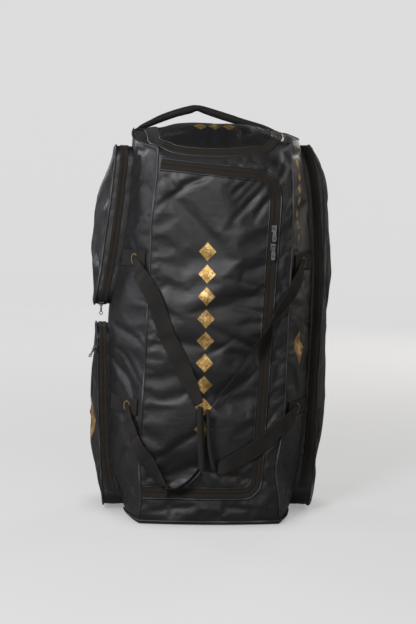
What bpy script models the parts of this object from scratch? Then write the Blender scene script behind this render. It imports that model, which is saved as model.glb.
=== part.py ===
"""Cricket kit bag: a soft wheel-less holdall that stands on its end.

The body is five sewn panels around one hollow. Its cross-section is a loft of named
sections, so every panel, zip tape, piping, pocket and strap takes its place from the
same wall surface. Metres, +Z up, +Y towards the back, origin at the middle of the base.
"""
from collections import namedtuple
from math import cos, exp, pi, radians, sin, tan

import bmesh
import bpy
from mathutils import Matrix, Vector
from mathutils.bvhtree import BVHTree

# Driving dimensions
FRONT_Y = -0.180
FOLD_Y = -0.050
SHOULDER_Y = 0.120
BACK_Y = 0.170
BACK_ROUND = 0.040
CLOTH = 0.0025
BASE_THICKNESS = 0.0035
TAPE = 0.0012
GAP = 0.0003
SEAT = 0.0008
SEAM = 0.0004
PIPING_RADIUS = 0.0024
PIPING_FOOT = 0.0150
BASE_PIPING_HEIGHT = 0.0085

# Domed end: the rim runs up from front to back, and the crown stands above it
RIM_FRONT_LEFT = 0.862
RIM_FRONT_RIGHT = 0.884
RIM_BACK = 0.921
RIM_FRONT_SAG = 0.026
CROWN = Vector((0.000, 0.035, 0.937))

# Zips
ZIP_WIDTH = 0.020
ZIP_LEFT = -0.136
ZIP_LEFT_FOOT = -0.157
LID_TOP_LEFT = 0.829
LID_TOP_RIGHT = 0.808
LID_RIGHT_TOP = 0.130
LID_RIGHT_BOTTOM = 0.104
LID_BOTTOM = 0.0735
LID_TOP_RADIUS = 0.055
LID_BOTTOM_RADIUS = 0.034
FLAP_LEFT = -0.147
FLAP_RIGHT = 0.139
FLAP_FRONT = -0.146
FLAP_BACK = 0.075
FLAP_RADIUS = 0.045

# Webbing
WEBBING_WIDTH = 0.038
WEBBING_THICKNESS = 0.0022

# The four carrying straps: their middle line as seen from the front, its lift off the
# wall, a turn away from lying flat, and the share of the width left near a grip
STRAP_STEPS = 2
StrapPoint = namedtuple("StrapPoint", "x z lift roll width")
STRAPS = {
    "left_upper_strap": (
        StrapPoint(-0.1860, 0.613, 0.0048, 0, 0.32),
        StrapPoint(-0.1835, 0.607, 0.0052, 0, 0.44),
        StrapPoint(-0.173, 0.589, 0.0095, 0, 0.80),
        StrapPoint(-0.157, 0.558, 0.0120, 0, 1.0),
        StrapPoint(-0.140, 0.520, 0.0085, 0, 1.0),
        StrapPoint(-0.113, 0.444, 0.0048, 0, 1.0),
        StrapPoint(-0.082, 0.385, 0.0048, 0, 1.0),
        StrapPoint(-0.054, 0.322, 0.0110, 10, 0.85),
        StrapPoint(-0.038, 0.284, 0.0200, 30, 0.50)),
    "left_lower_strap": (
        StrapPoint(-0.1935, 0.270, 0.0050, 0, 0.32),
        StrapPoint(-0.1915, 0.263, 0.0056, 0, 0.44),
        StrapPoint(-0.182, 0.225, 0.0095, 0, 0.85),
        StrapPoint(-0.165, 0.180, 0.0140, 10, 1.0),
        StrapPoint(-0.151, 0.153, 0.0155, 20, 1.0),
        StrapPoint(-0.132, 0.120, 0.0180, 50, 1.0),
        StrapPoint(-0.110, 0.088, 0.0215, 80, 1.0),
        StrapPoint(-0.094, 0.080, 0.0220, 85, 1.0),
        StrapPoint(-0.076, 0.085, 0.0220, 85, 1.0),
        StrapPoint(-0.050, 0.102, 0.0220, 85, 0.90),
        StrapPoint(-0.0275, 0.1295, 0.0220, 85, 0.70)),
    "right_upper_strap": (
        StrapPoint(0.2040, 0.614, 0.0048, 0, 0.32),
        StrapPoint(0.2010, 0.608, 0.0052, 0, 0.44),
        StrapPoint(0.191, 0.592, 0.0100, 0, 0.80),
        StrapPoint(0.172, 0.560, 0.0160, -10, 1.0),
        StrapPoint(0.150, 0.518, 0.0190, -40, 1.0),
        StrapPoint(0.120, 0.472, 0.0205, -65, 1.0),
        StrapPoint(0.079, 0.411, 0.0215, -70, 1.0),
        StrapPoint(0.030, 0.337, 0.0220, -75, 0.95),
        StrapPoint(-0.0125, 0.280, 0.0225, -80, 0.70)),
    "right_lower_strap": (
        StrapPoint(0.2010, 0.269, 0.0048, 0, 0.32),
        StrapPoint(0.1980, 0.265, 0.0052, 0, 0.44),
        StrapPoint(0.186, 0.256, 0.0095, 0, 0.80),
        StrapPoint(0.166, 0.243, 0.0130, 0, 1.0),
        StrapPoint(0.148, 0.226, 0.0080, 0, 1.0),
        StrapPoint(0.112, 0.190, 0.0052, 0, 1.0),
        StrapPoint(0.073, 0.163, 0.0056, 0, 1.0),
        StrapPoint(0.036, 0.147, 0.0120, 10, 0.90),
        StrapPoint(0.0098, 0.1362, 0.0215, 55, 0.65)),
}

# Grips: the middle line, and the section's thickness across and depth towards the front
GripStation = namedtuple("GripStation", "x y z across deep")
GRIPS = {
    "left_grip": (
        GripStation(-0.0340, -0.2130, 0.2790, 0.011, 0.024),
        GripStation(-0.0335, -0.2135, 0.2700, 0.015, 0.027),
        GripStation(-0.0300, -0.2140, 0.2040, 0.015, 0.027),
        GripStation(-0.0255, -0.2135, 0.1400, 0.015, 0.027),
        GripStation(-0.0250, -0.2130, 0.1310, 0.011, 0.024)),
    "right_grip": (
        GripStation(-0.0155, -0.2150, 0.2740, 0.006, 0.028),
        GripStation(-0.0150, -0.2150, 0.2640, 0.009, 0.032),
        GripStation(-0.0125, -0.2160, 0.2150, 0.009, 0.032),
        GripStation(-0.0075, -0.2160, 0.1750, 0.009, 0.032),
        GripStation(0.0000, -0.2150, 0.1440, 0.009, 0.030),
        GripStation(0.0025, -0.2150, 0.1350, 0.006, 0.026)),
}
GRIP_SIDES = 10

# Sewn anchors of the straps on the side panels, each with a stitched ring that runs
# between two angles and is open where the strap leaves it
Anchor = namedtuple("Anchor", "name side height ring_y ring_start ring_end")
ANCHORS = (
    Anchor("left_upper", -1, 0.611, -0.129, 35, 255),
    Anchor("left_lower", -1, 0.268, -0.134, 10, 228),
    Anchor("right_upper", 1, 0.612, -0.128, 40, 255),
    Anchor("right_lower", 1, 0.267, -0.128, 62, 260),
)
ANCHOR_STOPS = (-0.166, -0.1394, -0.096, -0.064)
RING_RADIUS = 0.0115
RING_THREAD = 0.0011
RING_SEGMENTS = 11
RING_SIDES = 5

# Grab handle over the end: a padded tube between two sewn feet
HandleStation = namedtuple("HandleStation", "x z tall deep")
HANDLE_Y = 0.116
HANDLE = (
    HandleStation(-0.158, 0.9316, 0.004, 0.030),
    HandleStation(-0.144, 0.9430, 0.006, 0.028),
    HandleStation(-0.118, 0.9570, 0.018, 0.026),
    HandleStation(-0.080, 0.9670, 0.021, 0.025),
    HandleStation(-0.040, 0.9745, 0.021, 0.025),
    HandleStation(0.000, 0.9710, 0.021, 0.025),
    HandleStation(0.050, 0.9590, 0.021, 0.025),
    HandleStation(0.090, 0.9500, 0.018, 0.026),
    HandleStation(0.132, 0.9420, 0.006, 0.028),
    HandleStation(0.150, 0.9324, 0.004, 0.030),
)
HANDLE_SIDES = 10
HANDLE_FOOT_LENGTH = 0.032
FOOT_SEAT = 0.0015

# Zip sliders and their pulls
SLIDER_WIDTH = 0.0110
SLIDER_LENGTH = 0.0150
SLIDER_PLATE = 0.0030
BRIDGE_WIDTH = 0.0084
BRIDGE_BAR = 0.0018
PIN_HEIGHT = 0.0062
EYE_BORE = 0.0017
EYE_RADIUS = 0.0029
EYE_WIDTH = 0.0044
PULL_THICKNESS = 0.0016
Pull = namedtuple("Pull", "name kind x y z facing rest")
PULLS = (
    Pull("lid_upper", "tab", 0.1262, None, 0.690, None, 0),
    Pull("lid_lower", "tab", 0.1247, None, 0.648, None, 0),
    Pull("upper_left", "ring", -0.2600, -0.0294, 0.5021, (0, -0.383, -0.924), 67.5),
    Pull("lower_left", "ring", -0.2689, -0.0552, 0.3920, (-0.750, -0.660, 0), 35),
)

# Columns around the body, span by span, and rows up the walls and over the end
SPANS = (("front", 8), ("right_gusset", 3), ("right_side", 4), ("right_back", 2),
         ("back", 3), ("left_back", 2), ("left_side", 4), ("left_gusset", 3))
SPAN_BULGE = {"front": 0.013, "right_gusset": 0.007, "right_side": 0.004, "right_back": 0.009,
              "back": 0.003, "left_back": 0.009, "left_side": 0.004, "left_gusset": 0.007}
SHOULDER_SHARE = 0.975
WALL_ROWS = 17
CAP_STEPS = (0.08, 0.26, 0.48, 0.72)

# The body's outline at each height: where the front seams and the side folds run
Section = namedtuple("Section", "height front_left front_right fold_left fold_right")
SECTIONS = (
    Section(0.00, -0.165, 0.163, -0.200, 0.199),
    Section(0.06, -0.161, 0.160, -0.217, 0.218),
    Section(0.13, -0.167, 0.150, -0.229, 0.228),
    Section(0.21, -0.166, 0.161, -0.234, 0.235),
    Section(0.30, -0.163, 0.166, -0.236, 0.240),
    Section(0.40, -0.159, 0.167, -0.240, 0.243),
    Section(0.50, -0.157, 0.168, -0.237, 0.244),
    Section(0.60, -0.154, 0.169, -0.218, 0.242),
    Section(0.70, -0.153, 0.170, -0.204, 0.232),
    Section(0.80, -0.144, 0.167, -0.196, 0.218),
    Section(0.92, -0.140, 0.160, -0.189, 0.193),
)

# The main folds and dents: a middle, a direction, a length, a width and a depth
Fold = namedtuple("Fold", "span across height angle length width depth")
FOLDS = (
    Fold("front", 0.145, 0.770, 35, 0.060, 0.022, 0.0060),
    Fold("front", 0.150, 0.845, -30, 0.050, 0.020, 0.0050),
    Fold("front", -0.120, 0.760, 140, 0.060, 0.024, 0.0040),
    Fold("front", 0.060, 0.520, 12, 0.070, 0.020, 0.0040),
    Fold("front", 0.050, 0.400, -10, 0.080, 0.022, 0.0045),
    Fold("front", 0.145, 0.330, 75, 0.090, 0.018, 0.0040),
    Fold("front", -0.080, 0.120, 25, 0.070, 0.024, 0.0040),
    Fold("left_gusset", -0.120, 0.340, 60, 0.070, 0.026, 0.0060),
    Fold("left_gusset", -0.140, 0.160, 80, 0.090, 0.024, 0.0060),
    Fold("right_gusset", -0.120, 0.100, 110, 0.070, 0.026, 0.0070),
    Fold("right_gusset", -0.130, 0.720, 80, 0.090, 0.026, 0.0040),
)

# A pocket's depth at each height: how far out its piped edge and its face stand
PocketRow = namedtuple("PocketRow", "height edge face")
Pocket = namedtuple("Pocket", "name side low high front back corner zip_open rows")
POCKETS = (
    Pocket("upper_left", -1, 0.497, 0.872, -0.052, 0.108, 0.035, "back", (
        PocketRow(0.497, 0.2760, 0.2790),
        PocketRow(0.550, 0.2680, 0.2850),
        PocketRow(0.640, 0.2570, 0.2860),
        PocketRow(0.760, 0.2430, 0.2770),
        PocketRow(0.872, 0.2330, 0.2440))),
    Pocket("lower_left", -1, 0.012, 0.441, -0.052, 0.108, 0.030, "low", (
        PocketRow(0.012, 0.2440, 0.2470),
        PocketRow(0.073, 0.2510, 0.2680),
        PocketRow(0.138, 0.2550, 0.2760),
        PocketRow(0.260, 0.2620, 0.2810),
        PocketRow(0.384, 0.2660, 0.2800),
        PocketRow(0.441, 0.2690, 0.2720))),
    Pocket("right", 1, 0.010, 0.886, -0.052, 0.112, 0.045, "low", (
        PocketRow(0.010, 0.2600, 0.2700),
        PocketRow(0.100, 0.2650, 0.2860),
        PocketRow(0.200, 0.2670, 0.2950),
        PocketRow(0.390, 0.2700, 0.2990),
        PocketRow(0.565, 0.2750, 0.2970),
        PocketRow(0.700, 0.2710, 0.2890),
        PocketRow(0.814, 0.2600, 0.2800),
        PocketRow(0.886, 0.2320, 0.2380))),
)
POCKET_RUN = 0.085
POCKET_CORNER_STEPS = 2
POCKET_FACE_RINGS = (0.78, 0.45)
POCKET_ZIP_WIDTH = 0.016
ZIP_END = 0.005

COLOURS = {
    "cloth": ((0.012, 0.012, 0.015, 1.0), 0.62, 0.0),
    "webbing": ((0.016, 0.014, 0.012, 1.0), 0.80, 0.0),
    "tape": ((0.020, 0.017, 0.014, 1.0), 0.85, 0.0),
    "piping": ((0.040, 0.040, 0.043, 1.0), 0.45, 0.0),
    "base": ((0.015, 0.015, 0.016, 1.0), 0.70, 0.0),
    "gold_thread": ((0.55, 0.33, 0.10, 1.0), 0.45, 0.0),
    "metal": ((0.20, 0.20, 0.21, 1.0), 0.35, 1.0),
}


# Small tools

def clear_scene():
    for item in list(bpy.data.objects):
        bpy.data.objects.remove(item, do_unlink=True)


def make_collection(name):
    group = bpy.data.collections.new(name)
    bpy.context.scene.collection.children.link(group)
    return group


def make_materials():
    made = {}
    for name, (colour, roughness, metallic) in COLOURS.items():
        material = bpy.data.materials.new(name)
        material.use_nodes = True
        shader = material.node_tree.nodes["Principled BSDF"]
        shader.inputs["Base Color"].default_value = colour
        shader.inputs["Roughness"].default_value = roughness
        shader.inputs["Metallic"].default_value = metallic
        made[name] = material
    return made


def lerp(a, b, t):
    return a + (b - a) * t


def smooth_column(rows, column, height):
    """Read one named column of a table at a height, on a smooth curve through its rows."""
    heights = [row.height for row in rows]
    values = [getattr(row, column) for row in rows]
    last = len(rows) - 1
    if height <= heights[0]:
        return values[0]
    if height >= heights[last]:
        return values[last]
    low = max(i for i in range(last) if heights[i] <= height)

    def slope(i):
        before, after = max(i - 1, 0), min(i + 1, last)
        return (values[after] - values[before]) / (heights[after] - heights[before])

    step = heights[low + 1] - heights[low]
    t = (height - heights[low]) / step
    return ((2 * t**3 - 3 * t**2 + 1) * values[low] + (t**3 - 2 * t**2 + t) * step * slope(low)
            + (3 * t**2 - 2 * t**3) * values[low + 1] + (t**3 - t**2) * step * slope(low + 1))


def link_mesh(name, mesh, material, group):
    item = bpy.data.objects.new(name, mesh)
    item.data.materials.append(material)
    group.objects.link(item)
    return item


def mesh_from_faces(name, points, faces):
    mesh = bpy.data.meshes.new(name)
    mesh.from_pydata([tuple(p) for p in points], [], faces)
    mesh.validate()
    shell = bmesh.new()
    shell.from_mesh(mesh)
    bmesh.ops.recalc_face_normals(shell, faces=shell.faces)
    shell.to_mesh(mesh)
    shell.free()
    mesh.shade_smooth()
    return mesh


def split_quad(a, b, c, d):
    """Two triangles on a fixed diagonal, so that sheets laid on each other bend alike."""
    return [(a, b, c), (a, c, d)]


def sheet_solid(name, outer, inner, material, group):
    """Close two grids of points, the outer and inner face of a sheet, along their four edges."""
    rows, columns = len(outer), len(outer[0])
    points = [p for row in outer for p in row] + [p for row in inner for p in row]
    below = rows * columns

    def at(row, column):
        return row * columns + column

    faces = []
    for r in range(rows - 1):
        for c in range(columns - 1):
            pair = split_quad(at(r, c), at(r, c + 1), at(r + 1, c + 1), at(r + 1, c))
            faces += pair
            faces += [tuple(below + i for i in reversed(triangle)) for triangle in pair]
    border = [at(0, c) for c in range(columns)]
    border += [at(r, columns - 1) for r in range(1, rows)]
    border += [at(rows - 1, c) for c in range(columns - 2, -1, -1)]
    border += [at(r, 0) for r in range(rows - 2, 0, -1)]
    for first, second in zip(border, border[1:] + border[:1]):
        faces.append((second, first, below + first, below + second))
    return link_mesh(name, mesh_from_faces(name, points, faces), material, group)


def rings_solid(name, rings, material, group):
    """Loft closed rings of equal length, with a flat cap on each end."""
    count = len(rings[0])
    points = [p for ring in rings for p in ring]
    faces = []
    for r in range(len(rings) - 1):
        for k in range(count):
            after = (k + 1) % count
            faces.append((r * count + k, r * count + after,
                          (r + 1) * count + after, (r + 1) * count + k))
    start = (len(rings) - 1) * count
    faces.append(tuple(range(count - 1, -1, -1)))
    faces.append(tuple(range(start, start + count)))
    return link_mesh(name, mesh_from_faces(name, points, faces), material, group)


def tube(name, points, radius, material, group, cyclic=False, resolution=1):
    """A round cord along a list of points."""
    curve = bpy.data.curves.new(name, "CURVE")
    curve.dimensions = "3D"
    curve.bevel_depth = radius
    curve.bevel_resolution = resolution
    curve.use_fill_caps = not cyclic
    line = curve.splines.new("POLY")
    line.points.add(len(points) - 1)
    for slot, point in zip(line.points, points):
        slot.co = (*point, 1.0)
    line.use_cyclic_u = cyclic
    curve.materials.append(material)
    item = bpy.data.objects.new(name, curve)
    group.objects.link(item)
    return item


def add_boolean(item, cutter, operation):
    cut = item.modifiers.new(operation.title(), "BOOLEAN")
    cut.operation = operation
    cut.object = cutter


def make_cutter(name, outline, axis, low, high, group):
    """A prism of an outline in the XZ plane, along Y, or in the XY plane, along Z."""
    def place(point, depth):
        if axis == "Y":
            return Vector((point[0], depth, point[1]))
        return Vector((point[0], point[1], depth))

    rings = [[place(p, depth) for p in outline] for depth in (low, high)]
    cutter = rings_solid(name, rings, MATERIALS["cloth"], group)
    cutter.hide_render = True
    cutter.display_type = "WIRE"
    return cutter


def fillet_outline(corners, steps=7):
    """A closed outline through corners (x, y, radius), each rounded by its own arc."""
    outline = []
    count = len(corners)
    for i, (x, y, radius) in enumerate(corners):
        corner = Vector((x, y))
        if radius == 0:
            outline.append(tuple(corner))
            continue
        before = (Vector(corners[i - 1][:2]) - corner).normalized()
        after = (Vector(corners[(i + 1) % count][:2]) - corner).normalized()
        half = before.angle(after) / 2
        centre = corner + (before + after).normalized() * (radius / sin(half))
        start = corner + before * (radius / tan(half)) - centre
        sweep = pi - 2 * half
        turn = -1 if before.cross(after) > 0 else 1
        for step in range(steps + 1):
            angle = turn * sweep * step / steps
            outline.append((centre.x + start.x * cos(angle) - start.y * sin(angle),
                            centre.y + start.x * sin(angle) + start.y * cos(angle)))
    return outline


# The body's surface

def front_y(height):
    """The front leans back a little where it rolls over into the end."""
    roll = max(0.0, (height - 0.790) / 0.055)
    return FRONT_Y + 0.010 * min(roll, 1.3) ** 2


def section_corners(height):
    left = smooth_column(SECTIONS, "front_left", height)
    right = smooth_column(SECTIONS, "front_right", height)
    fold_left = smooth_column(SECTIONS, "fold_left", height)
    fold_right = smooth_column(SECTIONS, "fold_right", height)
    near = front_y(height)
    back_right = fold_right * SHOULDER_SHARE
    back_left = fold_left * SHOULDER_SHARE
    return [Vector((left, near)), Vector((right, near)), Vector((fold_right, FOLD_Y)),
            Vector((back_right, SHOULDER_Y)), Vector((back_right - BACK_ROUND, BACK_Y)),
            Vector((back_left + BACK_ROUND, BACK_Y)), Vector((back_left, SHOULDER_Y)),
            Vector((fold_left, FOLD_Y))]


def fold_depth(span, point, height):
    depth = 0.0
    for fold in FOLDS:
        if fold.span != span:
            continue
        across = (point.x if span == "front" else point.y) - fold.across
        up = height - fold.height
        angle = radians(fold.angle)
        along = across * cos(angle) + up * sin(angle)
        aside = up * cos(angle) - across * sin(angle)
        depth += fold.depth * exp(-(along / fold.length) ** 2 - (aside / fold.width) ** 2)
    return depth


def column_list():
    """Each column of the body as its span's name, the span's index and a share along it."""
    columns = []
    for index, (span, count) in enumerate(SPANS):
        columns += [(span, index, step / count) for step in range(count)]
    return columns


COLUMNS = column_list()


def wall_point(column, height):
    span, index, share = COLUMNS[column % len(COLUMNS)]
    corners = section_corners(height)
    start, end = corners[index], corners[(index + 1) % len(corners)]
    chord = end - start
    outward = Vector((chord.y, -chord.x)).normalized()
    flat = start.lerp(end, share)
    swell = SPAN_BULGE[span] * 4 * share * (1 - share)
    edge_fade = min(1.0, 6 * share * (1 - share))
    swell -= fold_depth(span, flat, height) * edge_fade
    flat += outward * swell
    return Vector((flat.x, flat.y, height))


def rim_height(column):
    span, _index, share = COLUMNS[column % len(COLUMNS)]
    point = wall_point(column, 0.90)
    if span == "front":
        level = lerp(RIM_FRONT_LEFT, RIM_FRONT_RIGHT, share)
        return level - RIM_FRONT_SAG * (4 * share * (1 - share)) ** 0.6
    front = RIM_FRONT_RIGHT if point.x > 0 else RIM_FRONT_LEFT
    return lerp(front, RIM_BACK, min(1.0, (point.y - FRONT_Y) / (SHOULDER_Y - FRONT_Y)))


def make_body_grid():
    """Rows of points up the walls, then over the end, and the crown point that closes it."""
    columns = range(len(COLUMNS))
    foot = BASE_THICKNESS + GAP
    rims = [rim_height(c) for c in columns]
    rows = []
    for r in range(WALL_ROWS + 1):
        share = r / WALL_ROWS
        rows.append([wall_point(c, lerp(foot, rims[c], share)) for c in columns])
    rim = rows[-1]
    for step in CAP_STEPS:
        ring = []
        for point in rim:
            inward = point.lerp(CROWN, step)
            inward.z = lerp(point.z, CROWN.z, 1 - (1 - step) ** 2)
            ring.append(inward)
        rows.append(ring)
    return rows


def bisector(before, point, after):
    """The direction of a bent line at its bend, whatever the lengths of its two arms."""
    return (point - before).normalized() + (after - point).normalized()


def grid_normals(rows):
    """Outward normals, shared by all panels, so that sheets which meet keep one seam line."""
    count = len(rows[0])
    normals = []
    for r, row in enumerate(rows):
        above = rows[r + 1] if r + 1 < len(rows) else [CROWN] * count
        below = rows[max(r - 1, 0)]
        line = []
        for c, point in enumerate(row):
            around = bisector(row[c - 1], point, row[(c + 1) % count])
            line.append(around.cross(bisector(below[c], point, above[c])).normalized())
        normals.append(line)
    return normals


def shrink_edges(grid, amount):
    """Draw the grid's four edges in, which leaves a clear seam beside its neighbours."""
    grid = [list(row) for row in grid]
    for row in grid:
        row[0] = row[0] + (row[1] - row[0]).normalized() * amount
        row[-1] = row[-1] + (row[-2] - row[-1]).normalized() * amount
    for c in range(len(grid[0])):
        grid[0][c] = grid[0][c] + (grid[1][c] - grid[0][c]).normalized() * amount
        grid[-1][c] = grid[-1][c] + (grid[-2][c] - grid[-1][c]).normalized() * amount
    return grid


def span_columns(first, last):
    """The columns from the start of one span to the end of another."""
    names = [span for span, _count in SPANS]
    starts = {name: next(c for c, col in enumerate(COLUMNS) if col[0] == name) for name in names}
    end = starts[last] + dict(SPANS)[last]
    begin = starts[first]
    if end <= begin:
        end += len(COLUMNS)
    return [c % len(COLUMNS) for c in range(begin, end + 1)]


class Body:
    """The body's grid and normals, read by every piece that lies on it."""

    def __init__(self):
        self.rows = make_body_grid()
        self.normals = grid_normals(self.rows)
        self.tree = self.skin_tree()

    def patch(self, columns, row_range, offset):
        return [[self.rows[r][c] + self.normals[r][c] * offset for c in columns]
                for r in row_range]

    def sheet(self, name, columns, row_range, low, high, material, group):
        outer = shrink_edges(self.patch(columns, row_range, high), SEAM / 2)
        inner = shrink_edges(self.patch(columns, row_range, low), SEAM / 2)
        return sheet_solid(name, outer, inner, material, group)

    def foot_point(self, column, height, offset):
        """A point just off the lowest row of facets, at a height above the floor."""
        low, high = self.rows[0][column], self.rows[1][column]
        point = low.lerp(high, (height - low.z) / (high.z - low.z))
        out = self.normals[0][column]
        return point + Vector((out.x, out.y, 0)).normalized() * offset

    def skin_tree(self):
        """The whole outer skin as one tree that rays can be sent at."""
        count = len(COLUMNS)
        points = [p for row in self.rows for p in row] + [CROWN]
        faces = []
        for r in range(len(self.rows) - 1):
            for k in range(count):
                after = (k + 1) % count
                faces += split_quad(r * count + k, r * count + after,
                                    (r + 1) * count + after, (r + 1) * count + k)
        last = (len(self.rows) - 1) * count
        faces += [(last + k, last + (k + 1) % count, len(points) - 1) for k in range(count)]
        return BVHTree.FromPolygons(points, faces)

    def hit(self, start, direction):
        """Where a ray from outside meets the skin, and the outward normal there."""
        direction = Vector(direction)
        point, normal = self.tree.ray_cast(Vector(start), direction)[:2]
        return point, (normal if normal.dot(direction) < 0 else -normal)

    def from_front(self, x, z):
        return self.hit((x, -1.0, z), (0, 1, 0))

    def from_side(self, side, y, z):
        return self.hit((side, y, z), (-side, 0, 0))

    def from_above(self, x, y):
        return self.hit((x, y, 2.0), (0, 0, -1))


def make_walls(body, cloth, group):
    wall_rows = range(WALL_ROWS + 1)
    for name, first, last in (("right_side_panel", "right_gusset", "right_side"),
                              ("back_panel", "right_back", "left_back"),
                              ("left_side_panel", "left_side", "left_gusset")):
        body.sheet(name, span_columns(first, last), wall_rows, -CLOTH, 0.0, cloth, group)


def lid_outline(offset, left, left_foot=None):
    """The lid's zip line, moved out by an offset, closed on the left at a given place."""
    lean = (LID_RIGHT_TOP - LID_RIGHT_BOTTOM) * 0.05
    return fillet_outline((
        (left if left_foot is None else left_foot, LID_BOTTOM - offset, 0),
        (LID_RIGHT_BOTTOM + offset, LID_BOTTOM - offset, LID_BOTTOM_RADIUS + offset),
        (LID_RIGHT_TOP + offset + lean, LID_TOP_RIGHT + offset, LID_TOP_RADIUS + offset),
        (left, LID_TOP_LEFT + offset, 0)))


def make_front(body, materials, group, cutters):
    """The lid, the cloth around it and the zip tape along their seam."""
    columns = span_columns("front", "front")
    rows = range(WALL_ROWS + 1)
    near, far = -0.260, -0.120
    left = -0.300

    around = make_cutter("lid_hole", lid_outline(SEAM / 2, left), "Y", near, far, cutters)
    within = make_cutter("lid_shape", lid_outline(-SEAM / 2, left), "Y", near, far, cutters)
    front = body.sheet("front_panel", columns, rows, -CLOTH, 0.0, materials["cloth"], group)
    add_boolean(front, around, "DIFFERENCE")
    lid = body.sheet("lid_panel", columns, rows, -CLOTH, 0.0, materials["cloth"], group)
    add_boolean(lid, within, "INTERSECT")

    half = ZIP_WIDTH / 2
    outside = make_cutter("lid_zip_outside", lid_outline(half, ZIP_LEFT, ZIP_LEFT_FOOT), "Y",
                          near, far, cutters)
    inside = make_cutter("lid_zip_inside", lid_outline(-half, left), "Y", near, far, cutters)
    zip_tape = body.sheet("lid_zip_tape", columns, rows, GAP, GAP + TAPE,
                          materials["tape"], group)
    add_boolean(zip_tape, outside, "INTERSECT")
    add_boolean(zip_tape, inside, "DIFFERENCE")


def cap_solid(name, body, low, high, material, group):
    """The domed end as one sheet: rings from the rim inwards, closed by the crown."""
    rows = range(WALL_ROWS, len(body.rows))
    columns = list(range(len(COLUMNS)))
    count = len(columns)
    points, faces = [], []
    for offset in (high, low):
        grid = body.patch(columns, rows, offset)
        grid[0] = [p + (q - p).normalized() * SEAM for p, q in zip(grid[0], grid[1])]
        points += [p for ring in grid for p in ring] + [CROWN + Vector((0, 0, offset))]
    ring_count = len(rows)
    layer = ring_count * count + 1
    for side in (0, layer):
        for r in range(ring_count - 1):
            for k in range(count):
                after = (k + 1) % count
                low_row, high_row = side + r * count, side + (r + 1) * count
                faces += split_quad(low_row + k, low_row + after, high_row + after, high_row + k)
        crown = side + layer - 1
        last = side + (ring_count - 1) * count
        faces += [(last + k, last + (k + 1) % count, crown) for k in range(count)]
    faces += [(k, (k + 1) % count, layer + (k + 1) % count, layer + k) for k in range(count)]
    return link_mesh(name, mesh_from_faces(name, points, faces), material, group)


def flap_outline(offset, back):
    return fillet_outline((
        (FLAP_LEFT - offset, FLAP_FRONT - offset, FLAP_RADIUS + offset),
        (FLAP_RIGHT + offset, FLAP_FRONT - offset, FLAP_RADIUS + offset),
        (FLAP_RIGHT + offset, back, 0),
        (FLAP_LEFT - offset, back, 0)))


def make_end(body, materials, group, cutters):
    """The domed end, its flap and the zip tape around three sides of the flap."""
    low, high = 0.780, 1.000
    around = make_cutter("flap_hole", flap_outline(SEAM / 2, FLAP_BACK), "Z", low, high, cutters)
    within = make_cutter("flap_shape", flap_outline(-SEAM / 2, FLAP_BACK - SEAM), "Z",
                         low, high, cutters)
    end = cap_solid("end_panel", body, -CLOTH, 0.0, materials["cloth"], group)
    add_boolean(end, around, "DIFFERENCE")
    flap = cap_solid("end_flap", body, -CLOTH, 0.0, materials["cloth"], group)
    add_boolean(flap, within, "INTERSECT")

    half = ZIP_WIDTH / 2
    outside = make_cutter("flap_zip_outside", flap_outline(half, FLAP_BACK), "Z",
                          low, high, cutters)
    inside = make_cutter("flap_zip_inside", flap_outline(-half, 0.300), "Z", low, high, cutters)
    zip_tape = cap_solid("end_zip_tape", body, GAP, GAP + TAPE, materials["tape"], group)
    add_boolean(zip_tape, outside, "INTERSECT")
    add_boolean(zip_tape, inside, "DIFFERENCE")


def make_base(material, group):
    ring = [wall_point(c, 0.0) for c in range(len(COLUMNS))]
    top = [p + Vector((0, 0, BASE_THICKNESS)) for p in ring]
    return rings_solid("base_panel", [ring, top], material, group)


def corner_points(body, columns, rows, offset):
    return [body.rows[r][c] + body.normals[r][c] * offset for c in columns for r in rows]


def make_piping(body, material, group):
    """A cord up each front seam and back along the edge of the end."""
    offset = PIPING_RADIUS + SEAT
    rows = range(1, WALL_ROWS + 1)
    front_left = 0
    front_right = dict(SPANS)["front"]
    left_edge = list(reversed(span_columns("left_side", "left_gusset")))
    right_edge = span_columns("right_gusset", "right_side")
    for name, corner, edge in (("left_piping", front_left, left_edge),
                               ("right_piping", front_right, right_edge)):
        path = [body.foot_point(corner, PIPING_FOOT, offset)]
        path += corner_points(body, [corner], rows, offset)
        path += corner_points(body, edge[1:], [WALL_ROWS], offset)
        tube(name, path, PIPING_RADIUS, material, group)

    foot = span_columns("left_gusset", "right_gusset")[1:-1]
    path = [body.foot_point(c, BASE_PIPING_HEIGHT, offset + GAP) for c in foot]
    tube("base_piping", path, PIPING_RADIUS, material, group)


# Pockets

def pocket_outline(pocket, inset):
    """Points around a pocket in the YZ plane, evenly spread along sides and corners."""
    front, back = pocket.front + inset, pocket.back - inset
    low, high = pocket.low + inset, pocket.high - inset
    radius = max(pocket.corner - inset, 0.004)
    centres = ((back - radius, high - radius, 0), (front + radius, high - radius, 90),
               (front + radius, low + radius, 180), (back - radius, low + radius, 270))
    across = max(2, round((pocket.back - pocket.front) / POCKET_RUN))
    up = max(2, round((pocket.high - pocket.low) / POCKET_RUN))
    runs = (across, up, across, up)
    outline = []
    for i, (y, z, start) in enumerate(centres):
        for step in range(POCKET_CORNER_STEPS + 1):
            angle = radians(start + 90 * step / POCKET_CORNER_STEPS)
            outline.append(Vector((y + radius * cos(angle), z + radius * sin(angle))))
        y_next, z_next, start_next = centres[(i + 1) % 4]
        turn = radians(start_next)
        target = Vector((y_next + radius * cos(turn), z_next + radius * sin(turn)))
        source = outline[-1]
        outline += [source.lerp(target, step / runs[i]) for step in range(1, runs[i])]
    return outline


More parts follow.
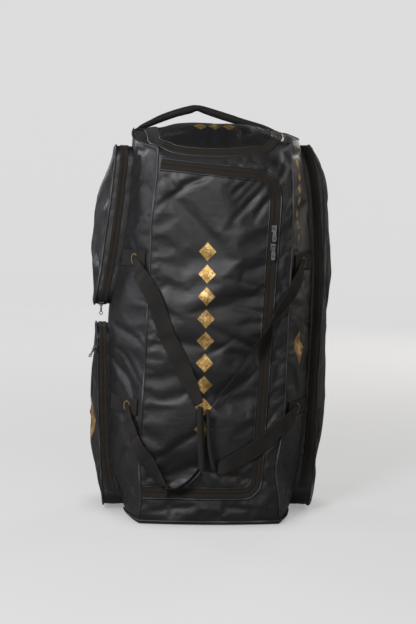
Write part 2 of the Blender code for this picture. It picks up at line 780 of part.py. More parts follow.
def seat_rim(body, pocket):
    """How far out the rim's points stand, so that its straight runs clear the wall too."""
    def wall_x(spot):
        return abs(body.from_side(pocket.side, spot.x, spot.y)[0].x)

    edges = (pocket_outline(pocket, 0.0), pocket_outline(pocket, CLOTH))
    count = len(edges[0])
    seats = [max(wall_x(edge[k]) for edge in edges) + SEAT for k in range(count)]
    for k in range(count):
        after = (k + 1) % count
        for share in (0.2, 0.4, 0.6, 0.8):
            wall = max(wall_x(edge[k].lerp(edge[after], share)) for edge in edges) + SEAT
            need = wall - lerp(seats[k], seats[after], share)
            if need > 0:
                seats[k] += need
                seats[after] += need
    return seats


def pocket_face_x(pocket, height, reach):
    edge = smooth_column(pocket.rows, "edge", height)
    face = smooth_column(pocket.rows, "face", height)
    return lerp(face, edge, reach**2)


def solidify(item, thickness):
    shell = item.modifiers.new("Thickness", "SOLIDIFY")
    shell.thickness = thickness
    shell.offset = -1.0
    shell.use_even_offset = True


def open_band(name, rings, thickness, outward_from, material, group):
    """A band through closed rings, thickened inwards from its outer face."""
    count = len(rings[0])
    points = [p for ring in rings for p in ring]
    faces = []
    for r in range(len(rings) - 1):
        for k in range(count):
            after = (k + 1) % count
            faces.append((r * count + k, r * count + after,
                          (r + 1) * count + after, (r + 1) * count + k))
    mesh = bpy.data.meshes.new(name)
    mesh.from_pydata([tuple(p) for p in points], [], faces)
    face = mesh.polygons[0]
    if face.normal.dot(face.center - outward_from) < 0:
        mesh.flip_normals()
    mesh.shade_smooth()
    item = link_mesh(name, mesh, material, group)
    solidify(item, thickness)
    return item


def make_pocket(pocket, body, materials, group):
    side = pocket.side
    outline = pocket_outline(pocket, 0.0)
    middle = Vector((side * 0.2, (pocket.front + pocket.back) / 2, (pocket.low + pocket.high) / 2))

    def place(x, point):
        return Vector((side * x, point.x, point.y))

    seats = seat_rim(body, pocket)
    edges = [smooth_column(pocket.rows, "edge", p.y) for p in outline]
    rim = [place(x, p) for x, p in zip(seats, outline)]
    lip = [place(x, p) for x, p in zip(edges, outline)]
    waist = [a.lerp(b, 0.5) for a, b in zip(rim, lip)]
    open_band(pocket.name + "_pocket_gusset", [rim, waist, lip], CLOTH, middle,
              materials["cloth"], group)
    make_pocket_face(pocket, outline, materials["cloth"], group)

    offset = PIPING_RADIUS + SEAT
    cord_outline = pocket_outline(pocket, -offset)
    cord = [place(x + CLOTH, p) for x, p in zip(edges, cord_outline)]
    tube(pocket.name + "_pocket_piping", cord, PIPING_RADIUS, materials["piping"], group,
         cyclic=True)
    make_pocket_zip(pocket, rim, lip, materials["tape"], group)


def make_pocket_face(pocket, outline, cloth, group):
    """The domed outer face: rings that shrink to the middle, closed there."""
    side = pocket.side
    centre = Vector(((pocket.front + pocket.back) / 2, (pocket.low + pocket.high) / 2))
    lift = CLOTH + SEAT
    points, faces = [], []
    scales = (1.0,) + POCKET_FACE_RINGS
    for scale in scales:
        for p in outline:
            spot = centre.lerp(p, scale)
            x = pocket_face_x(pocket, spot.y, scale) + lift
            points.append(Vector((side * x, spot.x, spot.y)))
    tip = smooth_column(pocket.rows, "face", centre.y) + lift
    points.append(Vector((side * tip, centre.x, centre.y)))
    count = len(outline)
    for r in range(len(scales) - 1):
        for k in range(count):
            after = (k + 1) % count
            faces.append((r * count + k, r * count + after,
                          (r + 1) * count + after, (r + 1) * count + k))
    last = (len(scales) - 1) * count
    faces += [(last + k, last + (k + 1) % count, len(points) - 1) for k in range(count)]
    mesh = bpy.data.meshes.new(pocket.name)
    mesh.from_pydata([tuple(p) for p in points], [], faces)
    if mesh.polygons[0].normal.x * side < 0:
        mesh.flip_normals()
    mesh.shade_smooth()
    item = link_mesh(pocket.name + "_pocket_face", mesh, cloth, group)
    solidify(item, CLOTH)


def make_pocket_zip(pocket, rim, lip, tape, group):
    """A zip tape over three sides of the gusset, open at the bottom or at the back."""
    count = len(rim)
    middle_y = (pocket.front + pocket.back) / 2
    if pocket.zip_open == "low":
        keep = [k for k in range(count) if rim[k].z > pocket.low + pocket.corner + ZIP_END]
    else:
        keep = [k for k in range(count) if rim[k].y < pocket.back - pocket.corner - ZIP_END]
    first = next(k for k in keep if (k - 1) % count not in keep)
    run = [(first + k) % count for k in range(len(keep))]
    outer, inner = [], []
    for k in run:
        across = (lip[k] - rim[k]).normalized()
        along = (lip[(k + 1) % count] - lip[k - 1]).normalized()
        out = along.cross(across).normalized()
        away = lip[k] - Vector((lip[k].x, middle_y, (pocket.low + pocket.high) / 2))
        if out.dot(away) < 0:
            out.negate()
        middle = rim[k].lerp(lip[k], 0.5)
        half = min(POCKET_ZIP_WIDTH, (lip[k] - rim[k]).length - 0.010) / 2
        outer.append([middle + across * w + out * (SEAT + TAPE) for w in (-half, half)])
        inner.append([middle + across * w + out * SEAT for w in (-half, half)])
    sheet_solid(pocket.name + "_pocket_zip", outer, inner, tape, group)


# Webbing

def spread_rows(rows, steps):
    """Rows of a table with smooth rows between them, a given number of steps apart."""
    spread = []
    last = len(rows) - 1
    for i in range(last):
        before, beyond = rows[max(i - 1, 0)], rows[min(i + 2, last)]
        here, after = rows[i], rows[i + 1]
        for step in range(steps):
            t = step / steps
            spread.append([0.5 * (2 * b + (c - a) * t + (2 * a - 5 * b + 4 * c - d) * t**2
                                  + (3 * b - a - 3 * c + d) * t**3)
                           for a, b, c, d in zip(before, here, after, beyond)])
    spread.append(list(rows[last]))
    return spread


def blend_neighbours(vectors):
    blended = []
    for k, vector in enumerate(vectors):
        before, after = vectors[max(k - 1, 0)], vectors[min(k + 1, len(vectors) - 1)]
        blended.append((before + 2 * vector + after).normalized())
    return [vectors[0]] + blended[1:]


def strap_rings(body, table):
    """Sections of a strap that follows the wall: along its path, across it and through it."""
    rows = [StrapPoint(*row) for row in spread_rows(table, STRAP_STEPS)]
    spots = [body.from_front(row.x, row.z) for row in rows]
    facings = blend_neighbours([normal for _point, normal in spots])
    middles = [spot[0] + facing * row.lift for spot, facing, row in zip(spots, facings, rows)]
    rings = []
    for k, row in enumerate(rows):
        along = middles[min(k + 1, len(rows) - 1)] - middles[max(k - 1, 0)]
        along.normalize()
        facing = facings[k] - along * facings[k].dot(along)
        facing = Matrix.Rotation(radians(row.roll), 3, along) @ facing.normalized()
        half = along.cross(facing) * (WEBBING_WIDTH * row.width / 2)
        thick = facing * (WEBBING_THICKNESS / 2)
        middle = middles[k]
        rings.append([middle - half - thick, middle + half - thick,
                      middle + half + thick, middle - half + thick])
    return rings


def make_straps(body, material, group):
    for name, table in STRAPS.items():
        rings_solid(name, strap_rings(body, table), material, group)


def oval(centre, across, deep, sides, around="Z"):
    """A rounded section, across X or Z and deep along Y."""
    ring = []
    for k in range(sides):
        angle = 2 * pi * k / sides
        first = cos(angle) * across / 2
        second = sin(angle) * deep / 2
        step = Vector((first, second, 0)) if around == "Z" else Vector((0, second, first))
        ring.append(centre + step)
    return ring


def make_grips(material, group):
    for name, stations in GRIPS.items():
        rings = [oval(Vector((s.x, s.y, s.z)), s.across, s.deep, GRIP_SIDES) for s in stations]
        rings_solid(name, rings, material, group)


def surface_patch(spots, low, high, name, material, group):
    """A thin sheet laid on a grid of (point, normal) spots."""
    outer = [[point + normal * high for point, normal in row] for row in spots]
    inner = [[point + normal * low for point, normal in row] for row in spots]
    return sheet_solid(name, outer, inner, material, group)


def make_anchors(body, materials, group):
    for anchor in ANCHORS:
        half = WEBBING_WIDTH / 2
        heights = (anchor.height - half, anchor.height, anchor.height + half)
        spots = [[body.from_side(anchor.side, y, z) for y in ANCHOR_STOPS] for z in heights]
        surface_patch(spots, SEAT, SEAT + WEBBING_THICKNESS, anchor.name + "_anchor",
                      materials["webbing"], group)
        make_ring(anchor, body, materials["gold_thread"], group)


def make_ring(anchor, body, material, group):
    """A stitched ring on the anchor, open where the strap leaves it."""
    point, normal = body.from_side(anchor.side, anchor.ring_y, anchor.height)
    lift = SEAT + WEBBING_THICKNESS + RING_THREAD + SEAT
    towards_front = normal.cross(Vector((0, 0, anchor.side))).normalized()
    up = Vector((0, 0, 1))
    up = (up - normal * up.dot(normal)).normalized()
    rings = []
    for k in range(RING_SEGMENTS + 1):
        angle = radians(lerp(anchor.ring_start, anchor.ring_end, k / RING_SEGMENTS))
        outward = towards_front * cos(angle) + up * sin(angle)
        centre = point + normal * lift + outward * RING_RADIUS
        rings.append([centre + (outward * cos(turn) + normal * sin(turn)) * RING_THREAD
                      for turn in (2 * pi * j / RING_SIDES for j in range(RING_SIDES))])
    rings_solid(anchor.name + "_ring", rings, material, group)


def make_grab_handle(body, materials, group):
    rings = [oval(Vector((s.x, HANDLE_Y, s.z)), s.tall, s.deep, HANDLE_SIDES, "X")
             for s in HANDLE]
    rings_solid("grab_handle", rings, materials["webbing"], group)
    for name, station in (("grab_handle_left_foot", HANDLE[0]),
                          ("grab_handle_right_foot", HANDLE[-1])):
        half_length, half_width = HANDLE_FOOT_LENGTH / 2, station.deep / 2
        spots = [[body.from_above(station.x + dx, HANDLE_Y + dy)
                  for dy in (-half_width, 0, half_width)]
                 for dx in (-half_length, 0, half_length)]
        surface_patch(spots, FOOT_SEAT, FOOT_SEAT + WEBBING_THICKNESS, name,
                      materials["webbing"], group)


# Zip sliders

def box_rings(low, high):
    return [[Vector((low[0], low[1], z)), Vector((high[0], low[1], z)),
             Vector((high[0], high[1], z)), Vector((low[0], high[1], z))]
            for z in (low[2], high[2])]


def local_solid(name, rings, place, material, group, helper=False):
    item = rings_solid(name, rings, material, group)
    item.matrix_world = place
    if helper:
        item.hide_render = True
        item.display_type = "WIRE"
    return item


def disc_rings(radius, low, high, centre=(0.0, 0.0), axis="X", sides=12):
    rings = []
    for level in (low, high):
        ring = []
        for k in range(sides):
            angle = 2 * pi * (k + 0.5) / sides
            first = centre[0] + radius * cos(angle)
            second = centre[1] + radius * sin(angle)
            ring.append(Vector((level, first, second)) if axis == "X"
                        else Vector((first, level, second)))
        rings.append(ring)
    return rings


def slider_frame(point, facing, up):
    """Local X across the zip, -Y out of the cloth, Z along the zip."""
    out = facing.normalized()
    along = (up - out * up.dot(out)).normalized()
    across = along.cross(out)
    return Matrix.Translation(point) @ Matrix((across, -out, along)).transposed().to_4x4()


def make_slider(name, place, materials, group, cutters):
    plate = box_rings((-SLIDER_WIDTH / 2, -SLIDER_PLATE, -SLIDER_LENGTH / 2),
                      (SLIDER_WIDTH / 2, 0.0, SLIDER_LENGTH / 2))
    item = local_solid(name + "_slider", plate, place, materials["metal"], group)
    half, bar = BRIDGE_WIDTH / 2, BRIDGE_BAR / 2
    outer, inner = PIN_HEIGHT + bar, PIN_HEIGHT - bar
    inside = half - BRIDGE_BAR * 0.75
    foot = SLIDER_PLATE / 2
    profile = ((-half, -foot), (-half, -outer), (half, -outer), (half, -foot),
               (inside, -foot), (inside, -inner), (-inside, -inner), (-inside, -foot))
    bridge = [[Vector((x, y, z)) for x, y in profile] for z in (-bar, bar)]
    helper = local_solid(name + "_bridge", bridge, place, materials["metal"], cutters, True)
    add_boolean(item, helper, "UNION")
    return item


def pull_outline(kind):
    """The pull's flat outline (across, along), hanging down from its eye."""
    if kind == "tab":
        return [(-0.0022, -0.0012), (-0.0030, -0.0060), (-0.0050, -0.0170), (-0.0050, -0.0260),
                (-0.0035, -0.0295), (0.0035, -0.0295), (0.0050, -0.0260), (0.0050, -0.0170),
                (0.0030, -0.0060), (0.0022, -0.0012)]
    stem, ring, end = 0.0022, 0.0046, -0.0190
    outline = [(-stem, -0.0012), (-stem, end + ring * 0.8)]
    for step in range(9):
        angle = radians(125 + step * (290 / 8))
        outline.append((ring * cos(angle), end + ring * sin(angle)))
    return outline + [(stem, end + ring * 0.8), (stem, -0.0012)]


def make_pull(pull, place, materials, group, cutters):
    """A flat pull whose eye turns on the slider's bar; its origin is on that axis."""
    half = PULL_THICKNESS / 2
    rings = [[Vector((x, y, z)) for x, z in pull_outline(pull.kind)] for y in (-half, half)]
    item = local_solid(pull.name + "_pull", rings, place, materials["metal"], group)
    eye = local_solid(pull.name + "_eye", disc_rings(EYE_RADIUS, -EYE_WIDTH / 2, EYE_WIDTH / 2),
                      place, materials["metal"], cutters, True)
    bore = local_solid(pull.name + "_bore", disc_rings(EYE_BORE, -EYE_WIDTH, EYE_WIDTH),
                       place, materials["metal"], cutters, True)
    if pull.kind == "tab":
        hole = disc_rings(0.0016, -EYE_WIDTH, EYE_WIDTH, (0.0, -0.0225), "Y", 10)
    else:
        hole = disc_rings(0.0027, -EYE_WIDTH, EYE_WIDTH, (0.0, -0.0190), "Y", 10)
    hole = local_solid(pull.name + "_hole", hole, place, materials["metal"], cutters, True)
    add_boolean(item, eye, "UNION")
    add_boolean(item, bore, "DIFFERENCE")
    add_boolean(item, hole, "DIFFERENCE")
    return item


def slider_seat(pull, body):
    """Where a slider's plate rests, and which way it faces."""
    if pull.facing is None:
        point, facing = body.from_front(pull.x, pull.z)
        return point + facing * (GAP + TAPE + SEAT), facing
    facing = Vector(pull.facing).normalized()
    clear = PIPING_RADIUS + SEAT if facing.x else TAPE + 2 * SEAT
    return Vector((pull.x, pull.y, pull.z)) + facing * clear, facing


def make_pulls(body, materials, group, cutters):
    for pull in PULLS:
        point, facing = slider_seat(pull, body)
        up = Vector((0, -1, 0)) if abs(facing.z) > 0.9 else Vector((0, 0, 1))
        place = slider_frame(point, facing, up)
        make_slider(pull.name, place, materials, group, cutters)
        hinge = place @ Matrix.Translation((0, -PIN_HEIGHT, 0))
        turned = hinge @ Matrix.Rotation(radians(-pull.rest), 4, "X")
        make_pull(pull, turned, materials, group, cutters)


MATERIALS = {}


def build():
    clear_scene()
    MATERIALS.update(make_materials())
    group = make_collection("cricket_kit_bag")
    cutters = make_collection("cutters")
    body = Body()
    make_walls(body, MATERIALS["cloth"], group)
    make_front(body, MATERIALS, group, cutters)
    make_end(body, MATERIALS, group, cutters)
    make_base(MATERIALS["base"], group)
    make_piping(body, MATERIALS["piping"], group)
    for pocket in POCKETS:
        make_pocket(pocket, body, MATERIALS, group)
    make_anchors(body, MATERIALS, group)
    make_straps(body, MATERIALS["webbing"], group)
    make_grips(MATERIALS["webbing"], group)
    make_grab_handle(body, MATERIALS, group)
    make_pulls(body, MATERIALS, group, cutters)


build()
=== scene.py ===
"""The looks of the cricket kit bag: its cloth, zips, webbing, finishes, light and camera.

The cloth is one fine skin, laid out from the same sections as the CAD panels, creased,
settled as cloth and then cut into its panels. Every trim is laid on the finished skin.
Metres, +Z up, +Y towards the back, origin at the middle of the base.
"""
from collections import namedtuple
from math import cos, exp, pi, radians, sin, tan

import bpy
from mathutils import Matrix, Vector, noise
from mathutils.bvhtree import BVHTree
from mathutils.kdtree import KDTree


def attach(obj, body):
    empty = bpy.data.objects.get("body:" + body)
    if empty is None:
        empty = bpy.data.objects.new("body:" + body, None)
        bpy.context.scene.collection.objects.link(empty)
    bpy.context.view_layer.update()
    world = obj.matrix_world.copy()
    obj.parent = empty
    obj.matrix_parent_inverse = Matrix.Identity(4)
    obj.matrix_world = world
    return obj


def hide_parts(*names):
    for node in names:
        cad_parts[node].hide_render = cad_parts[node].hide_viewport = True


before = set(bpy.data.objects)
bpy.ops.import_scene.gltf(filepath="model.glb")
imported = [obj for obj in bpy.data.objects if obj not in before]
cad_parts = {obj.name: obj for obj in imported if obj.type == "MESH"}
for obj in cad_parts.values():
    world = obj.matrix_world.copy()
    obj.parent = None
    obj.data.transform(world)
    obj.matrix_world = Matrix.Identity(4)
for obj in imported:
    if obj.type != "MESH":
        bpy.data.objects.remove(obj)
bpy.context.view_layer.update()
BODY = "bag"


def table(columns, *rows):
    """Rows with named columns."""
    row_type = namedtuple("Row", columns)
    return tuple(row_type(*row) for row in rows)


# Body dimensions, as in the CAD
FRONT_Y = -0.180
ROLL_START = 0.790
ROLL_HEIGHT = 0.055
ROLL_DEPTH = 0.010
ROLL_MOST = 1.3
FOLD_Y = -0.050
SHOULDER_Y = 0.120
BACK_Y = 0.170
BACK_ROUND = 0.040
SHOULDER_SHARE = 0.975
RIM_FRONT_LEFT = 0.862
RIM_FRONT_RIGHT = 0.884
RIM_BACK = 0.921
NEAR_RIM = 0.90
RIM_FRONT_SAG = 0.026
RIM_SAG_POWER = 0.6
CROWN = Vector((0.000, 0.035, 0.937))
PIPING_RADIUS = 0.0024
SEAM_CORD_RADIUS = 0.0018

# Zips
ZIP_LEFT = -0.136
ZIP_LEFT_FOOT = -0.157
LID_TOP_LEFT = 0.829
LID_TOP_RIGHT = 0.808
LID_RIGHT_TOP = 0.130
LID_RIGHT_BOTTOM = 0.104
LID_BOTTOM = 0.0735
LID_TOP_RADIUS = 0.055
LID_BOTTOM_RADIUS = 0.034
FLAP_LEFT = -0.147
FLAP_RIGHT = 0.139
FLAP_FRONT = -0.146
FLAP_BACK = 0.075
FLAP_RADIUS = 0.045
FLAP_BOW = 0.019

# Cells of the skin along each span around the body, up the walls and over the end
SPANS = (("front", 74), ("right_gusset", 32), ("right_side", 36), ("right_back", 14),
         ("back", 46), ("left_back", 14), ("left_side", 36), ("left_gusset", 32))
SPAN_BULGE = {"front": 0.013, "right_gusset": 0.007, "right_side": 0.004, "right_back": 0.009,
              "back": 0.003, "left_back": 0.009, "left_side": 0.004, "left_gusset": 0.007}
SKIN_FOOT = 0.004
WALL_ROWS = 196
CAP_ROWS = 34

SECTIONS = table(
    "height front_left front_right fold_left fold_right",
    (0.00, -0.165, 0.163, -0.190, 0.199),
    (0.06, -0.161, 0.160, -0.207, 0.216),
    (0.13, -0.167, 0.150, -0.229, 0.228),
    (0.21, -0.166, 0.161, -0.234, 0.235),
    (0.30, -0.163, 0.166, -0.236, 0.240),
    (0.40, -0.159, 0.167, -0.240, 0.243),
    (0.50, -0.157, 0.168, -0.237, 0.244),
    (0.60, -0.154, 0.169, -0.218, 0.242),
    (0.70, -0.153, 0.170, -0.204, 0.232),
    (0.80, -0.144, 0.167, -0.196, 0.218),
    (0.92, -0.140, 0.160, -0.189, 0.193),
)

# Folds of the cloth: a middle, a direction, a length, a width and a depth; the first
# rows of each span are the CAD's main folds, the rest are the finer ones between them
FOLD_COLUMNS = "across height angle length width depth"
FOLD_RANGE = 0.16
FOLD_FADE = 6
FOLDS = {
    "front": table(
        FOLD_COLUMNS,
        (0.145, 0.770, 35, 0.060, 0.022, 0.0060),
        (0.150, 0.845, -30, 0.050, 0.020, 0.0050),
        (-0.120, 0.760, 140, 0.060, 0.024, 0.0040),
        (0.060, 0.520, 12, 0.070, 0.020, 0.0040),
        (0.050, 0.400, -10, 0.080, 0.022, 0.0045),
        (0.145, 0.330, 75, 0.090, 0.018, 0.0040),
        (-0.080, 0.120, 25, 0.070, 0.024, 0.0040),
        (-0.095, 0.115, 5, 0.075, 0.0550, 0.0090),
        (0.030, 0.300, 0, 0.070, 0.0350, 0.0050),
        (0.072, 0.752, 48, 0.036, 0.0085, 0.0070),
        (0.096, 0.735, 60, 0.026, 0.0065, 0.0035),
        (0.040, 0.775, 40, 0.024, 0.0070, 0.0030),
        (-0.060, 0.792, 18, 0.030, 0.0080, 0.0045),
        (-0.100, 0.765, 32, 0.036, 0.0110, 0.0055),
        (-0.118, 0.792, 130, 0.026, 0.0070, 0.0040),
        (0.128, 0.838, 42, 0.034, 0.0080, 0.0070),
        (0.148, 0.822, 58, 0.024, 0.0070, 0.0050),
        (0.085, 0.600, 8, 0.040, 0.0090, 0.0026),
        (0.080, 0.560, -12, 0.044, 0.0080, 0.0030),
        (0.066, 0.532, 6, 0.036, 0.0085, 0.0026),
        (0.082, 0.500, -8, 0.046, 0.0080, 0.0032),
        (0.074, 0.470, 10, 0.040, 0.0090, 0.0026),
        (0.048, 0.432, -24, 0.050, 0.01, 0.0036),
        (0.010, 0.415, 30, 0.036, 0.0090, 0.0028),
        (-0.040, 0.340, -42, 0.050, 0.0110, 0.0026),
        (0.060, 0.330, 38, 0.040, 0.01, 0.0026),
        (-0.060, 0.200, 35, 0.050, 0.0110, 0.0030),
        (0.030, 0.120, -12, 0.060, 0.01, 0.0030),
        (-0.110, 0.090, 18, 0.040, 0.0080, 0.0026),
        (0.154, 0.640, 70, 0.030, 0.0060, 0.0024),
        (0.150, 0.560, 100, 0.030, 0.0060, 0.0026),
        (0.148, 0.470, 75, 0.036, 0.0060, 0.0028),
        (0.142, 0.400, 105, 0.030, 0.0065, 0.0026),
        (0.136, 0.250, 60, 0.030, 0.0070, 0.0030),
        (0.128, 0.180, 35, 0.026, 0.0070, 0.0030),
        (0.130, 0.100, -30, 0.030, 0.0070, 0.0030),
        (0.060, 0.040, -6, 0.060, 0.0080, 0.0026),
        (-0.080, 0.038, 8, 0.060, 0.0080, 0.0024),
    ),
    "left_gusset": table(
        FOLD_COLUMNS,
        (-0.120, 0.340, 60, 0.070, 0.026, 0.0060),
        (-0.140, 0.160, 80, 0.090, 0.024, 0.0060),
        (-0.128, 0.372, 48, 0.030, 0.0075, 0.0036),
        (-0.112, 0.338, 40, 0.034, 0.0080, 0.0038),
        (-0.132, 0.312, 62, 0.030, 0.0075, 0.0034),
        (-0.100, 0.395, 30, 0.026, 0.0075, 0.0026),
        (-0.120, 0.440, 20, 0.030, 0.0080, 0.0020),
        (-0.110, 0.700, 80, 0.050, 0.0110, 0.0020),
        (-0.130, 0.200, 70, 0.040, 0.0085, 0.0034),
        (-0.110, 0.130, 110, 0.036, 0.0085, 0.0034),
        (-0.140, 0.080, 60, 0.030, 0.0075, 0.0030),
    ),
    "right_gusset": table(
        FOLD_COLUMNS,
        (-0.120, 0.100, 110, 0.070, 0.026, 0.0070),
        (-0.130, 0.720, 80, 0.090, 0.026, 0.0040),
        (-0.140, 0.560, 100, 0.034, 0.0080, 0.0024),
        (-0.120, 0.440, 70, 0.040, 0.0085, 0.0026),
        (-0.140, 0.330, 110, 0.034, 0.0080, 0.0028),
        (-0.110, 0.200, 60, 0.040, 0.0090, 0.0034),
        (-0.135, 0.130, 130, 0.030, 0.0080, 0.0034),
        (-0.120, 0.060, 50, 0.030, 0.0080, 0.0030),
    ),
}

# Dents of the domed end, seen from above
END_DENTS = table(
    "x y angle length width depth",
    (0.095, -0.060, 62, 0.040, 0.0100, 0.0050),
    (0.060, -0.095, 75, 0.030, 0.0080, 0.0040),
    (0.020, -0.105, 82, 0.028, 0.0080, 0.0040),
    (-0.020, -0.100, 96, 0.030, 0.0085, 0.0040),
    (-0.065, -0.092, 104, 0.034, 0.0090, 0.0045),
    (-0.105, -0.060, 120, 0.040, 0.0100, 0.0045),
    (0.000, 0.040, 10, 0.080, 0.0180, 0.0040),
    (0.110, 0.070, 80, 0.050, 0.0130, 0.0040),
    (-0.110, 0.060, 100, 0.050, 0.0130, 0.0040),
)

POCKET_COLUMNS = "height edge face"
POCKETS = table(
    "name side low high front back corner zip_open rows",
    ("upper_left", -1, 0.497, 0.872, -0.052, 0.108, 0.035, "back", table(
        POCKET_COLUMNS,
        (0.497, 0.2760, 0.2790),
        (0.550, 0.2680, 0.2850),
        (0.640, 0.2570, 0.2860),
        (0.760, 0.2430, 0.2770),
        (0.872, 0.2330, 0.2440))),
    ("lower_left", -1, 0.012, 0.441, -0.052, 0.108, 0.030, "low", table(
        POCKET_COLUMNS,
        (0.012, 0.2440, 0.2470),
        (0.073, 0.2510, 0.2680),
        (0.138, 0.2550, 0.2760),
        (0.260, 0.2620, 0.2810),
        (0.384, 0.2660, 0.2800),
        (0.441, 0.2690, 0.2720))),
    ("right", 1, 0.010, 0.886, -0.052, 0.112, 0.045, "low", table(
        POCKET_COLUMNS,
        (0.010, 0.2600, 0.2700),
        (0.100, 0.2650, 0.2860),
        (0.200, 0.2670, 0.2950),
        (0.390, 0.2700, 0.2990),
        (0.565, 0.2750, 0.2970),
        (0.700, 0.2710, 0.2890),
        (0.814, 0.2600, 0.2800),
        (0.886, 0.2320, 0.2380))),
)
POCKET_CELL = 0.007
POCKET_CORNER_STEPS = 10
POCKET_BAND_ROWS = 10
POCKET_FACE_ROWS = 20

# Webbing, as in the CAD
WEBBING_WIDTH = 0.038
WEBBING_THICKNESS = 0.0022
STRAP_COLUMNS = "x z lift roll width"
STRAPS = {
    "left_upper_strap": table(
        STRAP_COLUMNS,
        (-0.1860, 0.613, 0.0048, 0, 0.32),
        (-0.1835, 0.607, 0.0052, 0, 0.44),
        (-0.173, 0.589, 0.0095, 0, 0.80),
        (-0.157, 0.558, 0.0120, 0, 1.0),
        (-0.140, 0.520, 0.0085, 0, 1.0),
        (-0.113, 0.444, 0.0048, 0, 1.0),
        (-0.082, 0.385, 0.0048, 0, 1.0),
        (-0.054, 0.322, 0.0110, 10, 0.85),
        (-0.038, 0.284, 0.0200, 30, 0.50)),
    "left_lower_strap": table(
        STRAP_COLUMNS,
        (-0.1935, 0.270, 0.0050, 0, 0.32),
        (-0.1915, 0.263, 0.0056, 0, 0.44),
        (-0.182, 0.225, 0.0095, 0, 0.85),
        (-0.165, 0.180, 0.0140, 10, 1.0),
        (-0.151, 0.153, 0.0155, 20, 1.0),
        (-0.132, 0.120, 0.0180, 50, 1.0),
        (-0.110, 0.088, 0.0215, 80, 1.0),
        (-0.094, 0.080, 0.0220, 85, 1.0),
        (-0.076, 0.085, 0.0220, 85, 1.0),
        (-0.050, 0.102, 0.0220, 85, 0.90),
        (-0.0275, 0.1295, 0.0220, 85, 0.70)),
    "right_upper_strap": table(
        STRAP_COLUMNS,
        (0.2040, 0.614, 0.0048, 0, 0.32),
        (0.2010, 0.608, 0.0052, 0, 0.44),
        (0.191, 0.592, 0.0100, 0, 0.80),
        (0.172, 0.560, 0.0160, -10, 1.0),
        (0.150, 0.518, 0.0190, -40, 1.0),
        (0.120, 0.472, 0.0205, -65, 1.0),
        (0.079, 0.411, 0.0215, -70, 1.0),
        (0.030, 0.337, 0.0220, -75, 0.95),
        (-0.0125, 0.280, 0.0225, -80, 0.70)),
    "right_lower_strap": table(
        STRAP_COLUMNS,
        (0.2010, 0.269, 0.0048, 0, 0.32),
        (0.1980, 0.265, 0.0052, 0, 0.44),
        (0.186, 0.256, 0.0095, 0, 0.80),
        (0.166, 0.243, 0.0130, 0, 1.0),
        (0.148, 0.226, 0.0080, 0, 1.0),
        (0.112, 0.190, 0.0052, 0, 1.0),
        (0.073, 0.163, 0.0056, 0, 1.0),
        (0.036, 0.147, 0.0120, 10, 0.90),
        (0.0098, 0.1362, 0.0215, 55, 0.65)),
}
STRAP_STEPS = 10

GRIP_COLUMNS = "x y z across deep"
GRIPS = {
    "left_grip": table(
        GRIP_COLUMNS,
        (-0.0340, -0.2130, 0.2790, 0.011, 0.024),
        (-0.0335, -0.2135, 0.2700, 0.015, 0.027),
        (-0.0300, -0.2140, 0.2040, 0.015, 0.027),
        (-0.0255, -0.2135, 0.1400, 0.015, 0.027),
        (-0.0250, -0.2130, 0.1310, 0.011, 0.024)),
    "right_grip": table(
        GRIP_COLUMNS,
        (-0.0155, -0.2150, 0.2740, 0.006, 0.028),
        (-0.0150, -0.2150, 0.2640, 0.009, 0.032),
        (-0.0125, -0.2160, 0.2150, 0.009, 0.032),
        (-0.0075, -0.2160, 0.1750, 0.009, 0.032),
        (0.0000, -0.2150, 0.1440, 0.009, 0.030),
        (0.0025, -0.2150, 0.1350, 0.006, 0.026)),
}

ANCHORS = table(
    "name side height ring_y ring_start ring_end",
    ("left_upper", -1, 0.611, -0.129, 35, 255),
    ("left_lower", -1, 0.268, -0.134, 10, 228),
    ("right_upper", 1, 0.612, -0.128, 40, 255),
    ("right_lower", 1, 0.267, -0.128, 62, 260),
)
ANCHOR_FRONT = -0.166
ANCHOR_BACK = -0.064
ANCHOR_STEPS = 24
RING_RADIUS = 0.0115
RING_HALF = 0.0014
RING_LIFT = 0.0042
RING_THREAD = 0.00062
RING_PITCH = 5
RING_LEAN = 6

HANDLE_Y = 0.116
HANDLE = table(
    "x z tall deep",
    (-0.177, 0.9230, 0.004, 0.030),
    (-0.166, 0.9272, 0.012, 0.030),
    (-0.146, 0.9358, 0.017, 0.028),
    (-0.118, 0.9490, 0.020, 0.026),
    (-0.080, 0.9635, 0.020, 0.025),
    (-0.046, 0.9732, 0.020, 0.025),
    (-0.030, 0.9770, 0.015, 0.026),
    (-0.014, 0.9735, 0.018, 0.025),
    (0.014, 0.9655, 0.020, 0.025),
    (0.052, 0.9550, 0.020, 0.025),
    (0.090, 0.9450, 0.018, 0.026),
    (0.130, 0.9362, 0.015, 0.028),
    (0.152, 0.9305, 0.011, 0.029),
    (0.168, 0.9253, 0.006, 0.030),
    (0.176, 0.9225, 0.003, 0.030),
)
HANDLE_TAILS = {
    "grab_handle_left_foot": table(
        "x y", (-0.130, 0.116), (-0.150, 0.114), (-0.164, 0.104), (-0.171, 0.086)),
    "grab_handle_right_foot": table(
        "x y", (0.126, 0.116), (0.148, 0.112), (0.166, 0.096), (0.175, 0.068), (0.178, 0.036)),
}


# The surface that the sections describe

def lerp(a, b, t):
    return a + (b - a) * t


